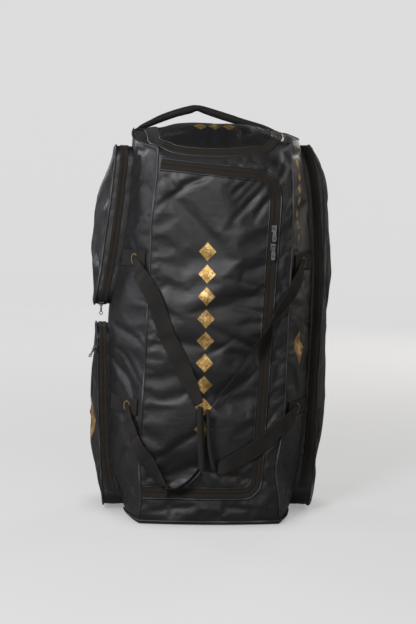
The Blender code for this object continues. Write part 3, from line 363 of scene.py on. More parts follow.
def smooth_column(rows, column, height):
    """Read one named column of a table at a height, on a smooth curve through its rows."""
    heights = [row.height for row in rows]
    values = [getattr(row, column) for row in rows]
    last = len(rows) - 1
    if height <= heights[0]:
        return values[0]
    if height >= heights[last]:
        return values[last]
    low = max(i for i in range(last) if heights[i] <= height)

    def slope(i):
        before, after = max(i - 1, 0), min(i + 1, last)
        return (values[after] - values[before]) / (heights[after] - heights[before])

    step = heights[low + 1] - heights[low]
    t = (height - heights[low]) / step
    return ((2 * t**3 - 3 * t**2 + 1) * values[low] + (t**3 - 2 * t**2 + t) * step * slope(low)
            + (3 * t**2 - 2 * t**3) * values[low + 1] + (t**3 - t**2) * step * slope(low + 1))


def front_y(height):
    """The front rolls back a little towards the end."""
    roll = max(0.0, (height - ROLL_START) / ROLL_HEIGHT)
    return FRONT_Y + ROLL_DEPTH * min(roll, ROLL_MOST) ** 2


def section_corners(height):
    left = smooth_column(SECTIONS, "front_left", height)
    right = smooth_column(SECTIONS, "front_right", height)
    fold_left = smooth_column(SECTIONS, "fold_left", height)
    fold_right = smooth_column(SECTIONS, "fold_right", height)
    near = front_y(height)
    back_right = fold_right * SHOULDER_SHARE
    back_left = fold_left * SHOULDER_SHARE
    return [Vector((left, near)), Vector((right, near)), Vector((fold_right, FOLD_Y)),
            Vector((back_right, SHOULDER_Y)), Vector((back_right - BACK_ROUND, BACK_Y)),
            Vector((back_left + BACK_ROUND, BACK_Y)), Vector((back_left, SHOULDER_Y)),
            Vector((fold_left, FOLD_Y))]


def ripple(across, up, fold):
    """How deep a fold is at a place beside its middle."""
    angle = radians(fold.angle)
    along = across * cos(angle) + up * sin(angle)
    aside = up * cos(angle) - across * sin(angle)
    return fold.depth * exp(-(along / fold.length) ** 2 - abs(aside / fold.width) ** 1.5)


def fold_depth(span, point, height):
    across = point.x if span == "front" else point.y
    return sum(ripple(across - fold.across, height - fold.height, fold)
               for fold in FOLDS.get(span, ()) if abs(height - fold.height) < FOLD_RANGE)


COLUMNS = [(span, index, step / count)
           for index, (span, count) in enumerate(SPANS) for step in range(count)]


def wall_point(column, height):
    """A point of the skin: on its section's chord, swelled out and creased."""
    span, index, share = COLUMNS[column % len(COLUMNS)]
    corners = section_corners(height)
    start, end = corners[index], corners[(index + 1) % len(corners)]
    chord = end - start
    outward = Vector((chord.y, -chord.x)).normalized()
    flat = start.lerp(end, share)
    edge_fade = min(1.0, FOLD_FADE * share * (1 - share))
    swell = SPAN_BULGE[span] * 4 * share * (1 - share)
    swell -= fold_depth(span, flat, height) * edge_fade
    flat += outward * swell
    return Vector((flat.x, flat.y, height))


def rim_height(column):
    """The height of the edge between the walls and the end."""
    span, _index, share = COLUMNS[column % len(COLUMNS)]
    point = wall_point(column, NEAR_RIM)
    if span == "front":
        level = lerp(RIM_FRONT_LEFT, RIM_FRONT_RIGHT, share)
        return level - RIM_FRONT_SAG * (4 * share * (1 - share)) ** RIM_SAG_POWER
    front = RIM_FRONT_RIGHT if point.x > 0 else RIM_FRONT_LEFT
    return lerp(front, RIM_BACK, min(1.0, (point.y - FRONT_Y) / (SHOULDER_Y - FRONT_Y)))


def span_start(name):
    return next(c for c, column in enumerate(COLUMNS) if column[0] == name)


def span_columns(first, last):
    """The columns from the start of one span to the end of another, around the bag."""
    begin, end = span_start(first), span_start(last) + dict(SPANS)[last]
    if end <= begin:
        end += len(COLUMNS)
    return [c % len(COLUMNS) for c in range(begin, end + 1)]


class Surface:
    """A finished cloth surface that trims are laid on."""

    def __init__(self, points, faces):
        self.tree = BVHTree.FromPolygons(points, faces)

    def hit(self, start, direction):
        direction = Vector(direction)
        point, normal = self.tree.ray_cast(Vector(start), direction)[:2]
        if point is None:
            return None
        return point, (normal if normal.dot(direction) < 0 else -normal)

    def from_front(self, x, z):
        return self.hit((x, -1.0, z), (0, 1, 0))

    def from_side(self, side, y, z):
        return self.hit((side, y, z), (-side, 0, 0))

    def from_above(self, x, y):
        return self.hit((x, y, 2.0), (0, 0, -1))

    def settle(self, point, normal, reach=0.02):
        """The place on the surface just under a point that hovers near it."""
        found = self.hit(point + normal * reach, -normal)
        if found is None or (found[0] - point).length > 1.5 * reach:
            return point
        return found[0]


def spread_over_end(point, step):
    """A point of the edge, moved a share of the way to the crown of the end."""
    inward = point.lerp(CROWN, step)
    inward.z = lerp(point.z, CROWN.z, 1 - (1 - step) ** 2)
    return inward


END_PASSES = 30
END_REACH = 5


def shape_end(rows):
    """Smooth the ridges that run from the end's corners to its crown, and add the dents."""
    width = len(rows[0])
    for _pass in range(END_PASSES):
        heights = [[p.z for p in row] for row in rows[WALL_ROWS:]]
        for r in range(2, len(heights) - 1):
            line = heights[r]
            for c in range(width):
                aside = line[c - END_REACH] + line[(c + END_REACH) % width]
                rows[WALL_ROWS + r][c].z = (aside + heights[r - 1][c] + heights[r + 1][c]) / 4
    for step, row in enumerate(rows[WALL_ROWS:]):
        fade = min(1.0, 5 * step / CAP_ROWS)
        for point in row:
            point.z -= fade * sum(ripple(point.x - dent.x, point.y - dent.y, dent)
                                  for dent in END_DENTS)


def skin_rows():
    """The whole skin: rows of points up the walls, then rings over the end."""
    columns = range(len(COLUMNS))
    rims = [rim_height(c) for c in columns]
    rows = [[None] * len(COLUMNS) for _ in range(WALL_ROWS + 1)]
    for r in range(WALL_ROWS + 1):
        for c in columns:
            height = lerp(SKIN_FOOT, rims[c], r / WALL_ROWS)
            rows[r][c] = wall_point(c, height)
    rim = rows[-1]
    for step in range(1, CAP_ROWS):
        rows.append([spread_over_end(p, step / CAP_ROWS) for p in rim])
    return rows


RIM_SOFT_ROWS = 9
RIM_SOFT_PASSES = 14


def soften_front_rim(rows):
    """Round the edge where the front turns over into the end."""
    first = span_start("front")
    count = dict(SPANS)["front"]
    for _pass in range(RIM_SOFT_PASSES):
        band = range(WALL_ROWS - RIM_SOFT_ROWS, WALL_ROWS + RIM_SOFT_ROWS)
        smooth = {r: [(rows[r - 1][c] + rows[r + 1][c]) / 2 for c in range(first, first + count)]
                  for r in band}
        for r in band:
            for k, target in enumerate(smooth[r]):
                fade = min(1.0, 8 * (k / count) * (1 - k / count))
                rows[r][first + k] = rows[r][first + k].lerp(target, 0.5 * fade)


# The cloth solver

SIM_FRAMES = 17
SIM_STEP = 2
CLOTH = {"quality": 6, "mass": 0.15, "tension_stiffness": 14, "compression_stiffness": 14,
         "shear_stiffness": 6, "bending_stiffness": 0.25, "air_damping": 2.0,
         "vertex_group_mass": "pins", "pin_stiffness": 1.0}


def settle_as_cloth(points, faces, pins, growth, pressure, reach):
    """Where the points of a slightly oversized cloth come to rest between its pins."""
    mesh = bpy.data.meshes.new("settling")
    mesh.from_pydata([tuple(p) for p in points], [], faces)
    item = bpy.data.objects.new("settling", mesh)
    scene = bpy.context.scene
    scene.collection.objects.link(item)
    group = item.vertex_groups.new(name="pins")
    for index, weight in enumerate(pins):
        group.add([index], weight, "REPLACE")
    cloth = item.modifiers.new("Cloth", "CLOTH")
    cloth.point_cache.frame_start = 1
    cloth.point_cache.frame_end = SIM_FRAMES
    cloth.collision_settings.use_collision = False
    settings = cloth.settings
    for key, value in CLOTH.items():
        setattr(settings, key, value)
    settings.shrink_min = -growth
    settings.use_pressure = pressure != 0
    settings.uniform_pressure_force = pressure
    settings.effector_weights.gravity = 0
    for number in range(1, SIM_FRAMES + 1):
        scene.frame_set(number)
    settled = item.evaluated_get(bpy.context.evaluated_depsgraph_get()).to_mesh()
    moved = []
    for before, vertex in zip(points, settled.vertices):
        shift = vertex.co - before
        if shift.length > reach:
            shift *= reach / shift.length
        moved.append(before + shift)
    scene.frame_set(1)
    bpy.data.objects.remove(item)
    bpy.data.meshes.remove(mesh)
    return moved


def cubic(a, b, c, d, t):
    """A smooth value between b and c."""
    return 0.5 * (2 * b + (c - a) * t + (2 * a - 5 * b + 4 * c - d) * t**2
                  + (3 * b - a - 3 * c + d) * t**3)


def line_tree(line):
    tree = KDTree(len(line))
    for index, (x, y) in enumerate(line):
        tree.insert((x, y, 0.0), index)
    tree.balance()
    return tree


SKIN_HOLD = 0.01
CALM_HOLD = 0.12
CALM_MIDDLE = Vector((-0.065, 0.650))
CALM_RADIUS = 0.130
BACK_HOLD = 0.2
ZIP_HOLD = 0.012
ANCHOR_HOLD = 0.024
FOOT_ROWS = 4
RIM_ROWS = 2
CROWN_ROWS = 5
HANDLE_HOLD = 0.03
HANDLE_FROM = 0.11
SKIN_GROWTH = 0.009
SKIN_REACH = 0.009


def near_line(tree, x, y):
    return tree.find((x, y, 0.0))[2] < ZIP_HOLD


def near_anchor(point):
    return any(anchor.side * point.x > 0 and abs(point.z - anchor.height) < ANCHOR_HOLD
               for anchor in ANCHORS)


def skin_pin(row, column, point, lid_tree, flap_tree):
    """How firmly a point of the skin is held: 1 at the seams, the zips and under the pockets."""
    span, _index, share = COLUMNS[column]
    if (row < FOOT_ROWS or abs(row - WALL_ROWS) < RIM_ROWS
            or row > WALL_ROWS + CAP_ROWS - CROWN_ROWS):
        return 1.0
    if row > WALL_ROWS:
        under_handle = abs(point.y - HANDLE_Y) < HANDLE_HOLD and abs(point.x) > HANDLE_FROM
        held = under_handle or near_line(flap_tree, point.x, point.y)
        return 1.0 if held else SKIN_HOLD
    if share == 0 or span.endswith("_side"):
        return 1.0
    if span == "front":
        calm = exp(-((Vector((point.x, point.z)) - CALM_MIDDLE).length / CALM_RADIUS) ** 2)
        held = near_line(lid_tree, point.x, point.z)
        return 1.0 if held else lerp(SKIN_HOLD, CALM_HOLD, calm)
    if span.endswith("_gusset"):
        return 1.0 if near_anchor(point) else SKIN_HOLD
    return BACK_HOLD


def settle_skin(rows):
    """Settle every second row and column, and carry their shifts over to the whole skin."""
    coarse = range(0, len(rows), SIM_STEP)
    width = len(COLUMNS) // SIM_STEP
    points = [rows[r][c * SIM_STEP] for r in coarse for c in range(width)]
    trees = line_tree(LID_LINE), line_tree(FLAP_LINE)
    pins = [skin_pin(r, c * SIM_STEP, rows[r][c * SIM_STEP], *trees) for r in coarse
            for c in range(width)]
    faces = ring_faces(len(coarse), width)[:-width]
    settled = settle_as_cloth(points, faces, pins, SKIN_GROWTH, 0.0, SKIN_REACH)
    shifts = [[settled[r * width + c] - points[r * width + c] for c in range(width)]
              for r in range(len(coarse))]
    last = len(shifts) - 1
    wide = []
    for line in shifts:
        wide.append([cubic(line[k - 1], line[k], line[(k + 1) % width], line[(k + 2) % width],
                           step / SIM_STEP)
                     for k in range(width) for step in range(SIM_STEP)])
    for r, row in enumerate(rows):
        k, t = min(r // SIM_STEP, last), (r % SIM_STEP) / SIM_STEP
        lines = [wide[min(max(k + d, 0), last)] for d in (-1, 0, 1, 2)]
        for c in range(len(row)):
            row[c] += cubic(*[line[c] for line in lines], t)


# Meshes and pieces

MATERIALS = {}


def spread(points):
    """The distance of each point along its line."""
    lengths = [0.0]
    for a, b in zip(points, points[1:]):
        lengths.append(lengths[-1] + (b - a).length)
    return lengths


def fill_mesh(name, points, faces, uvs):
    """A smooth mesh with one UV pair, in metres, for each corner of each face."""
    mesh = bpy.data.meshes.new(name)
    mesh.from_pydata([tuple(p) for p in points], [], faces)
    layer = mesh.uv_layers.new(name="Metres")
    layer.data.foreach_set("uv", [value for face in uvs for pair in face for value in pair])
    mesh.shade_smooth()
    return mesh


def ring_faces(ring_count, count):
    """Faces between closed rings, and from the last ring to one more point."""
    faces = [(r * count + k, r * count + (k + 1) % count,
              (r + 1) * count + (k + 1) % count, (r + 1) * count + k)
             for r in range(ring_count - 1) for k in range(count)]
    last = (ring_count - 1) * count
    return faces + [(last + k, last + (k + 1) % count, ring_count * count)
                    for k in range(count)]


def grid_mesh(name, rows, closed=False, capped=False, across=None):
    """A mesh through rows of points. Its UVs are the places across a row and along the rows."""
    width = len(rows[0])
    middle = rows[len(rows) // 2]
    us = list(across or spread(middle + middle[:1]))
    vs = spread([row[0] for row in rows])
    faces, uvs = [], []
    for r in range(len(rows) - 1):
        for c in range(width if closed else width - 1):
            quad = ((r, c), (r, c + 1), (r + 1, c + 1), (r + 1, c))
            faces.append(tuple(i * width + j % width for i, j in quad))
            uvs.append([(us[j], vs[i]) for i, j in quad])
    if capped:
        last = (len(rows) - 1) * width
        faces += [tuple(range(width - 1, -1, -1)), tuple(range(last, last + width))]
        uvs += [[(us[c], vs[0]) for c in range(width - 1, -1, -1)],
                [(us[c], vs[-1]) for c in range(width)]]
    return fill_mesh(name, [p for row in rows for p in row], faces, uvs)


def add_piece(name, mesh, material, stands_for=()):
    mesh.materials.append(MATERIALS[material])
    item = bpy.data.objects.new(name, mesh)
    bpy.context.scene.collection.objects.link(item)
    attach(item, BODY)
    if stands_for:
        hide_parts(*stands_for)
    return item


def resample(points, spacing):
    """Even steps along a line of points."""
    lengths = spread(points)
    count = max(2, round(lengths[-1] / spacing))
    steps, k = [], 0
    for i in range(count + 1):
        target = lengths[-1] * i / count
        while k < len(points) - 2 and lengths[k + 1] < target:
            k += 1
        run = lengths[k + 1] - lengths[k]
        share = (target - lengths[k]) / run if run else 0.0
        steps.append(points[k].lerp(points[k + 1], share))
    return steps


Spot = namedtuple("Spot", "point normal along across")


def path_frames(spots, closed=False, smoothing=3):
    """Directions along and across a line of (point, normal) pairs that lies on a surface."""
    count = len(spots)

    def at(k):
        return spots[k % count] if closed else spots[min(max(k, 0), count - 1)]

    framed = []
    for k in range(count):
        normal = sum((at(k + d)[1] for d in range(-smoothing, smoothing + 1)), Vector())
        along = (at(k + 1)[0] - at(k - 1)[0]).normalized()
        across = along.cross(normal).normalized()
        framed.append(Spot(at(k)[0], across.cross(along).normalized(), along, across))
    return framed


def lay_band(frames, profile, surface=None):
    """Rows of points across a band, each point draped on the surface and then lifted."""
    rows = []
    for spot in frames:
        row = []
        for across, lift in profile:
            place = spot.point + spot.across * across
            if surface:
                place = surface.settle(place, spot.normal)
            row.append(place + spot.normal * lift)
        rows.append(row)
    return rows


def round_rings(frames, radius, lift, lump=None):
    """Rings of a cord along a framed line. lump gives the radius's factor at each step."""
    rings = []
    for k, spot in enumerate(frames):
        size = radius * (lump(k) if lump else 1.0)
        centre = spot.point + spot.normal * lift
        rings.append([centre + (spot.across * cos(a) + spot.normal * sin(a)) * size
                      for a in (2 * pi * j / CORD_SIDES for j in range(CORD_SIDES))])
    return rings


# Each stitch is a short thread with rounded ends: rings at a share of its length, with a
# share of its radius and of its arch
STITCH_RINGS = ((-0.50, 0.40, -0.6), (-0.28, 1.0, 0.35), (0.28, 1.0, 0.35), (0.50, 0.40, -0.6))
STITCH_SIDES = 4
STITCH_PITCH = 0.0044
STITCH_LENGTH = 0.0031
STITCH_RADIUS = 0.00042


class Thread:
    """Many stitches, gathered into one mesh."""

    def __init__(self):
        self.points = []
        self.faces = []
        self.uvs = []

    def stitch(self, start, end, normal, radius):
        along = end - start
        across = along.normalized().cross(normal).normalized()
        first = len(self.points)
        for share, size, arch in STITCH_RINGS:
            centre = (start + end) / 2 + along * share + normal * (radius * arch)
            for k in range(STITCH_SIDES):
                angle = 2 * pi * (k + 0.5) / STITCH_SIDES
                spoke = across * cos(angle) + normal * sin(angle)
                self.points.append(centre + spoke * (radius * size))
        for ring in range(len(STITCH_RINGS) - 1):
            low = first + ring * STITCH_SIDES
            for k in range(STITCH_SIDES):
                after = (k + 1) % STITCH_SIDES
                self.add((low + k, low + after, low + STITCH_SIDES + after,
                          low + STITCH_SIDES + k))
        last = first + (len(STITCH_RINGS) - 1) * STITCH_SIDES
        self.add(tuple(range(first + STITCH_SIDES - 1, first - 1, -1)))
        self.add(tuple(range(last, last + STITCH_SIDES)))

    def add(self, face):
        self.faces.append(face)
        self.uvs.append([(self.points[i].x, self.points[i].z) for i in face])

    def run(self, line, normals, pitch=STITCH_PITCH, length=STITCH_LENGTH):
        """A row of stitches along a line of points."""
        steps = resample(line, pitch)
        scale = (len(line) - 1) / (len(steps) - 1)
        for k, (a, b) in enumerate(zip(steps, steps[1:])):
            if (b - a).length < pitch * 0.5:
                continue
            share = length / (b - a).length
            normal = normals[min(round((k + 0.5) * scale), len(normals) - 1)]
            self.stitch(a, a.lerp(b, share), normal, STITCH_RADIUS)

    def beside(self, frames, across, lift, surface=None):
        """A row of stitches at one side of a framed line."""
        rows = lay_band(frames, [(across, lift)], surface)
        self.run([row[0] for row in rows], [spot.normal for spot in frames])

    def piece(self, name, material):
        return add_piece(name, fill_mesh(name, self.points, self.faces, self.uvs), material)


# Panels cut from the skin

def inside(outline, x, y):
    """Whether a point lies within a closed outline."""
    crossings = 0
    for (ax, ay), (bx, by) in zip(outline, outline[1:] + outline[:1]):
        if (ay > y) != (by > y) and x < ax + (bx - ax) * (y - ay) / (by - ay):
            crossings += 1
    return crossings % 2 == 1


def fillet_outline(corners, steps=18):
    """A closed outline through corners (x, y, radius), each rounded by its own arc."""
    outline = []
    count = len(corners)
    for i, (x, y, radius) in enumerate(corners):
        corner = Vector((x, y))
        if radius == 0:
            outline.append(tuple(corner))
            continue
        before = (Vector(corners[i - 1][:2]) - corner).normalized()
        after = (Vector(corners[(i + 1) % count][:2]) - corner).normalized()
        half = before.angle(after) / 2
        centre = corner + (before + after).normalized() * (radius / sin(half))
        start = corner + before * (radius / tan(half)) - centre
        sweep = pi - 2 * half
        turn = -1 if before.cross(after) > 0 else 1
        for step in range(steps + 1):
            angle = turn * sweep * step / steps
            outline.append((centre.x + start.x * cos(angle) - start.y * sin(angle),
                            centre.y + start.x * sin(angle) + start.y * cos(angle)))
    return outline


def lid_outline(left, left_foot):
    """The lid's zip line, closed at its open left side."""
    lean = (LID_RIGHT_TOP - LID_RIGHT_BOTTOM) * 0.05
    return fillet_outline((
        (left_foot, LID_BOTTOM, 0),
        (LID_RIGHT_BOTTOM, LID_BOTTOM, LID_BOTTOM_RADIUS),
        (LID_RIGHT_TOP + lean, LID_TOP_RIGHT, LID_TOP_RADIUS),
        (left, LID_TOP_LEFT, 0)))


LINE_STEP = 0.004
BEYOND_LEFT = -0.300


def flap_outline():
    """The end's zip line; its front run bows towards the front."""
    outline = fillet_outline((
        (FLAP_LEFT, FLAP_BACK, 0),
        (FLAP_LEFT, FLAP_FRONT, FLAP_RADIUS),
        (FLAP_RIGHT, FLAP_FRONT, FLAP_RADIUS),
        (FLAP_RIGHT, FLAP_BACK, 0)))
    middle, half = (FLAP_LEFT + FLAP_RIGHT) / 2, (FLAP_RIGHT - FLAP_LEFT) / 2
    bowed = []
    for point in resample([Vector(p) for p in outline], LINE_STEP):
        share = max(0.0, 1 - ((point.x - middle) / half) ** 2)
        forward = max(0.0, min(1.0, point.y / FLAP_FRONT))
        bowed.append(point - Vector((0.0, FLAP_BOW * share * forward)))
    return bowed


def even_line(outline):
    return [tuple(p) for p in resample([Vector(p) for p in outline], LINE_STEP)]


LID_LINE = even_line(lid_outline(ZIP_LEFT, ZIP_LEFT_FOOT))
FLAP_LINE = even_line(flap_outline())


class Skin:
    """The settled skin: its rows of points, its faces and the surface that they make."""

    def __init__(self, rows, crown):
        self.rows = rows
        self.width = len(rows[0])
        self.points = [p for row in rows for p in row] + [crown]
        self.faces = ring_faces(len(rows), self.width)
        self.surface = Surface(self.points, self.faces)
        self.around = spread(rows[WALL_ROWS // 2])

    def spot(self, row, column):
        """A point of the skin and its normal."""
        here = self.rows[row][column]
        left, right = self.rows[row][column - 1], self.rows[row][(column + 1) % self.width]
        below = self.rows[max(row - 1, 0)][column]
        above = self.rows[min(row + 1, len(self.rows) - 1)][column]
        return here, (right - left).cross(above - below).normalized()

    def uv(self, index, on_cap):
        point = self.points[index]
        if on_cap:
            return point.x, point.y
        return self.around[index % self.width], point.z

    def panel(self, name, chosen, stands_for):
        """Cut the chosen faces out as a piece of their own."""
        numbers = {}
        for f in chosen:
            for i in self.faces[f]:
                numbers.setdefault(i, len(numbers))
        faces = [tuple(numbers[i] for i in self.faces[f]) for f in chosen]
        uvs = [self.face_uvs(f) for f in chosen]
        points = [self.points[i] for i in numbers]
        add_piece(name, fill_mesh(name, points, faces, uvs), "cloth", stands_for)

    def face_uvs(self, f):
        on_cap = f >= WALL_ROWS * self.width
        pairs = [self.uv(i, on_cap) for i in self.faces[f]]
        if not on_cap and f % self.width == self.width - 1:
            return [(u if u > self.around[1] else self.around[-1] + self.around[1], v)
                    for u, v in pairs]
        return pairs


PANEL_OF_SPAN = {"right_gusset": "right_side", "right_side": "right_side",
                 "right_back": "back", "back": "back", "left_back": "back",
                 "left_side": "left_side", "left_gusset": "left_side"}
PANELS = {"lid": "lid_panel", "front": "front_panel", "right_side": "right_side_panel",
          "back": "back_panel", "left_side": "left_side_panel", "end": "end_panel",
          "flap": "end_flap"}


def make_panels(skin):
    """Every face of the skin goes to one panel; the lid reaches left as far as the seam."""
    lid = lid_outline(BEYOND_LEFT, BEYOND_LEFT)
    chosen = {name: [] for name in PANELS}
    for f, corners in enumerate(skin.faces):
        middle = sum((skin.points[i] for i in corners), Vector()) / len(corners)
        if f >= WALL_ROWS * skin.width:
            name = "flap" if inside(FLAP_LINE, middle.x, middle.y) else "end"
        else:
            span = COLUMNS[f % skin.width][0]
            name = PANEL_OF_SPAN.get(span) or (
                "lid" if inside(lid, middle.x, middle.z) else "front")
        chosen[name].append(f)
    for name, node in PANELS.items():
        skin.panel(name + "_cloth", chosen[name], [node])


# Zips

TAPE_PROFILE = ((-0.0118, 0.0002), (-0.0118, 0.0012), (-0.0090, 0.0015), (-0.0055, 0.0015),
                (-0.0014, 0.0015), (-0.0006, 0.0010), (0.0000, 0.0005), (0.0006, 0.0010),
                (0.0014, 0.0015), (0.0055, 0.0015), (0.0090, 0.0015), (0.0118, 0.0012),
                (0.0118, 0.0002))
COIL_HALF = 0.0014
HEM_PROFILE = ((-0.0026, 0.0000), (-0.0024, 0.0016), (-0.0010, 0.0024), (0.0010, 0.0024),
               (0.0024, 0.0014), (0.0030, 0.0000))
HEM_OFFSET = 0.0132
TAPE_SEAM = 0.0098
TAPE_SEAM_LIFT = 0.0016


def zip_band(name, frames, surface, stands_for, thread, scale=1.0):
    """A zip's two woven tapes, its coil and its rows of stitches."""
    profile = [(across * scale if abs(across) > COIL_HALF else across, lift)
               for across, lift in TAPE_PROFILE]
    rows = lay_band(frames, profile, surface)
    mesh = grid_mesh(name, rows, across=[across for across, _lift in profile])
    add_piece(name, mesh, "tape", stands_for)
    for side in (-1, 1):
        thread.beside(frames, side * TAPE_SEAM * scale, TAPE_SEAM_LIFT, surface)


def hem_bands(name, frames, surface):
    """The folded cloth edges on both sides of a zip tape."""
    for word, side in (("inner", -1), ("outer", 1)):
        offset = side * HEM_OFFSET
        moved = [Spot(surface.settle(s.point + s.across * offset, s.normal), *s[1:])
                 for s in frames]
        rows = lay_band(moved, HEM_PROFILE, surface)
        mesh = grid_mesh(f"{name}_{word}", rows, across=[across for across, _ in HEM_PROFILE])
        add_piece(f"{name}_{word}", mesh, "cloth")


def lid_frames(surface):
    return path_frames([surface.from_front(x, z) for x, z in LID_LINE], smoothing=4)


def flap_frames(surface):
    return path_frames([surface.from_above(x, y) for x, y in FLAP_LINE], smoothing=4)


# Piping

SEAM_SIDES = (-0.0062, 0.0062)
FOOT_SEAMS = (0.0075, 0.0125)
SEAM_LIFT = 0.0003
CORD_LIFT = 0.0020
FOOT_CORD_LIFT = 0.0026
POCKET_CORD_LIFT = 0.0018
CORD_SIDES = 10
FOOT_PROFILE = ((0.055, 0.0), (0.008, 0.0), (0.0015, 0.0007), (0.0, 0.0035), (0.002, 0.0050))


def cord_piece(name, frames, stands_for, closed=False, radius=PIPING_RADIUS, lift=CORD_LIFT,
               lump=None):
    rings = round_rings(frames, radius, lift, lump)
    if closed:
        rings.append(rings[0])
    mesh = grid_mesh(name, rings, closed=True, capped=not closed)
    return add_piece(name, mesh, "piping", stands_for)


def make_piping(skin, thread):
    """A cord up each front seam and back along the edge of the end, and one at the foot."""
    left_edge = list(reversed(span_columns("left_side", "left_gusset")))
    right_edge = span_columns("right_gusset", "right_side")
    for side, edge in (("left", left_edge), ("right", right_edge)):
        spots = [skin.spot(r, edge[0]) for r in range(3, WALL_ROWS + 1)]
        spots += [skin.spot(WALL_ROWS, c) for c in edge[1:]]
        frames = path_frames(spots, smoothing=4)
        cord_piece(side + "_seam_cord", frames, [side + "_piping"], radius=SEAM_CORD_RADIUS)
        for across in SEAM_SIDES:
            thread.beside(frames, across, SEAM_LIFT, skin.surface)
    foot = span_columns("left_gusset", "right_gusset")[1:-1]
    frames = path_frames([skin.spot(1, c) for c in foot], smoothing=4)
    cord_piece("foot_cord", frames, ["base_piping"], lift=FOOT_CORD_LIFT)
    for height in FOOT_SEAMS:
        thread.beside(frames, -height, 0.0004, skin.surface)


def make_base():
    """The stiff foot panel: its rounded edge turns up to the seam. Each row of its profile
    is a distance in from the outline and a height."""
    rings = []
    for inset, height in FOOT_PROFILE:
        middle = Vector((0, 0, height))
        ring = []
        for c in range(len(COLUMNS)):
            point = wall_point(c, 0.0)
            ring.append(point.lerp(middle, inset / point.length) + Vector((0, 0, height)))
        rings.append(ring)
    mesh = grid_mesh("foot_cloth", rings, closed=True, capped=True)
    add_piece("foot_cloth", mesh, "base", ["base_panel"])


# Pockets

def pocket_outline(pocket, inset):
    """Points around a pocket in the YZ plane, evenly spread along sides and corners."""
    front, back = pocket.front + inset, pocket.back - inset
    low, high = pocket.low + inset, pocket.high - inset
    radius = max(pocket.corner - inset, 0.004)
    centres = ((back - radius, high - radius, 0), (front + radius, high - radius, 90),
               (front + radius, low + radius, 180), (back - radius, low + radius, 270))
    outline = []
    for i, (y, z, start) in enumerate(centres):
        for step in range(POCKET_CORNER_STEPS + 1):
            angle = radians(start + 90 * step / POCKET_CORNER_STEPS)
            outline.append(Vector((y + radius * cos(angle), z + radius * sin(angle))))
        y_next, z_next, start_next = centres[(i + 1) % 4]
        turn = radians(start_next)
        target = Vector((y_next + radius * cos(turn), z_next + radius * sin(turn)))
        source = outline[-1]
        runs = max(2, round((target - source).length / POCKET_CELL))
        outline += [source.lerp(target, step / runs) for step in range(1, runs)]
    return outline


GUSSET_BULGE = 0.0010
GUSSET_BUCKLES = ((34.0, 0.0022), (90.0, 0.0008))
FACE_PROUD = 0.0030
FACE_RING_POWER = 1.25


class PocketShape:
    """A pocket's gusset and domed face as grids that share their edge."""

    def __init__(self, pocket, surface):
        self.pocket = pocket
        self.side = pocket.side
        self.outline = pocket_outline(pocket, 0.0)
        self.count = len(self.outline)
        self.centre = Vector(((pocket.front + pocket.back) / 2, (pocket.low + pocket.high) / 2))
        self.surface = surface
        self.rim = [self.rim_point(p) for p in self.outline]
        self.lip = [self.lip_point(p) for p in self.outline]
        self.gusset = [self.gusset_ring(step / POCKET_BAND_ROWS)
                       for step in range(POCKET_BAND_ROWS + 1)]

    def place(self, x, spot):
        return Vector((self.side * x, spot.x, spot.y))

    def rim_point(self, spot):
        hit = self.surface.from_side(self.side, spot.x, spot.y)
        return hit[0] + Vector((self.side * 0.0004, 0, 0))

    def lip_point(self, spot):
        return self.place(smooth_column(self.pocket.rows, "edge", spot.y), spot)

    def away(self, k):
        """The direction out of the gusset's wall, in the pocket's plane."""
        before, after = self.outline[k - 1], self.outline[(k + 1) % self.count]
        run = after - before
        out = Vector((run.y, -run.x)).normalized()
        if out.dot(self.outline[k] - self.centre) < 0:
            out.negate()
        return Vector((0, out.x, out.y))

    def gusset_ring(self, share):
        """One ring of the gusset: it bulges a little and buckles between its edges."""
        ring = []
        for k in range(self.count):
            point = self.rim[k].lerp(self.lip[k], share)
            swell = 4 * share * (1 - share)
            buckle = sum(noise.noise(point * pitch) * deep for pitch, deep in GUSSET_BUCKLES)
            ring.append(point + self.away(k) * (swell * (GUSSET_BULGE + buckle)))
        return ring

    def face_point(self, spot, scale):
        edge = smooth_column(self.pocket.rows, "edge", spot.y)
        face = smooth_column(self.pocket.rows, "face", spot.y)
        x = lerp(face, edge, scale**2) + FACE_PROUD
        place = self.place(x, spot)
        fade = min(1.0, 5 * (1 - scale))
        crease = noise.noise(Vector((spot.x * 26, spot.y * 11, self.side * 3.0))) * 0.0040
        crease += noise.noise(Vector((spot.x * 60, spot.y * 30, 7.0))) * 0.0012
        return place + Vector((self.side * crease * fade, 0, 0))

    def face_rings(self):
        scales = [1 - (step / POCKET_FACE_ROWS) ** FACE_RING_POWER
                  for step in range(POCKET_FACE_ROWS)]
        rings = [[self.face_point(self.centre.lerp(p, scale), scale) for p in self.outline]
                 for scale in scales]
        tip = self.face_point(self.centre, 0.0)
        return rings, tip

    def gusset_spots(self, run, share):
        """Points and normals along the gusset, at a share of the way from rim to lip."""
        spots = []
        for k in run:
            level = share * POCKET_BAND_ROWS
            low = min(int(level), POCKET_BAND_ROWS - 1)
            point = self.gusset[low][k].lerp(self.gusset[low + 1][k], level - low)
            spots.append((point, self.away(k)))
        return spots


POCKET_GROWTH = 0.010
POCKET_PRESSURE = 0.4
POCKET_REACH = 0.006
LIP_HOLD = 0.7
ZIP_BAND_HOLD = 0.5
SEWN_RING = 2
RIM_SHARE = 0.06
POCKET_ZIP_SCALE = 0.8


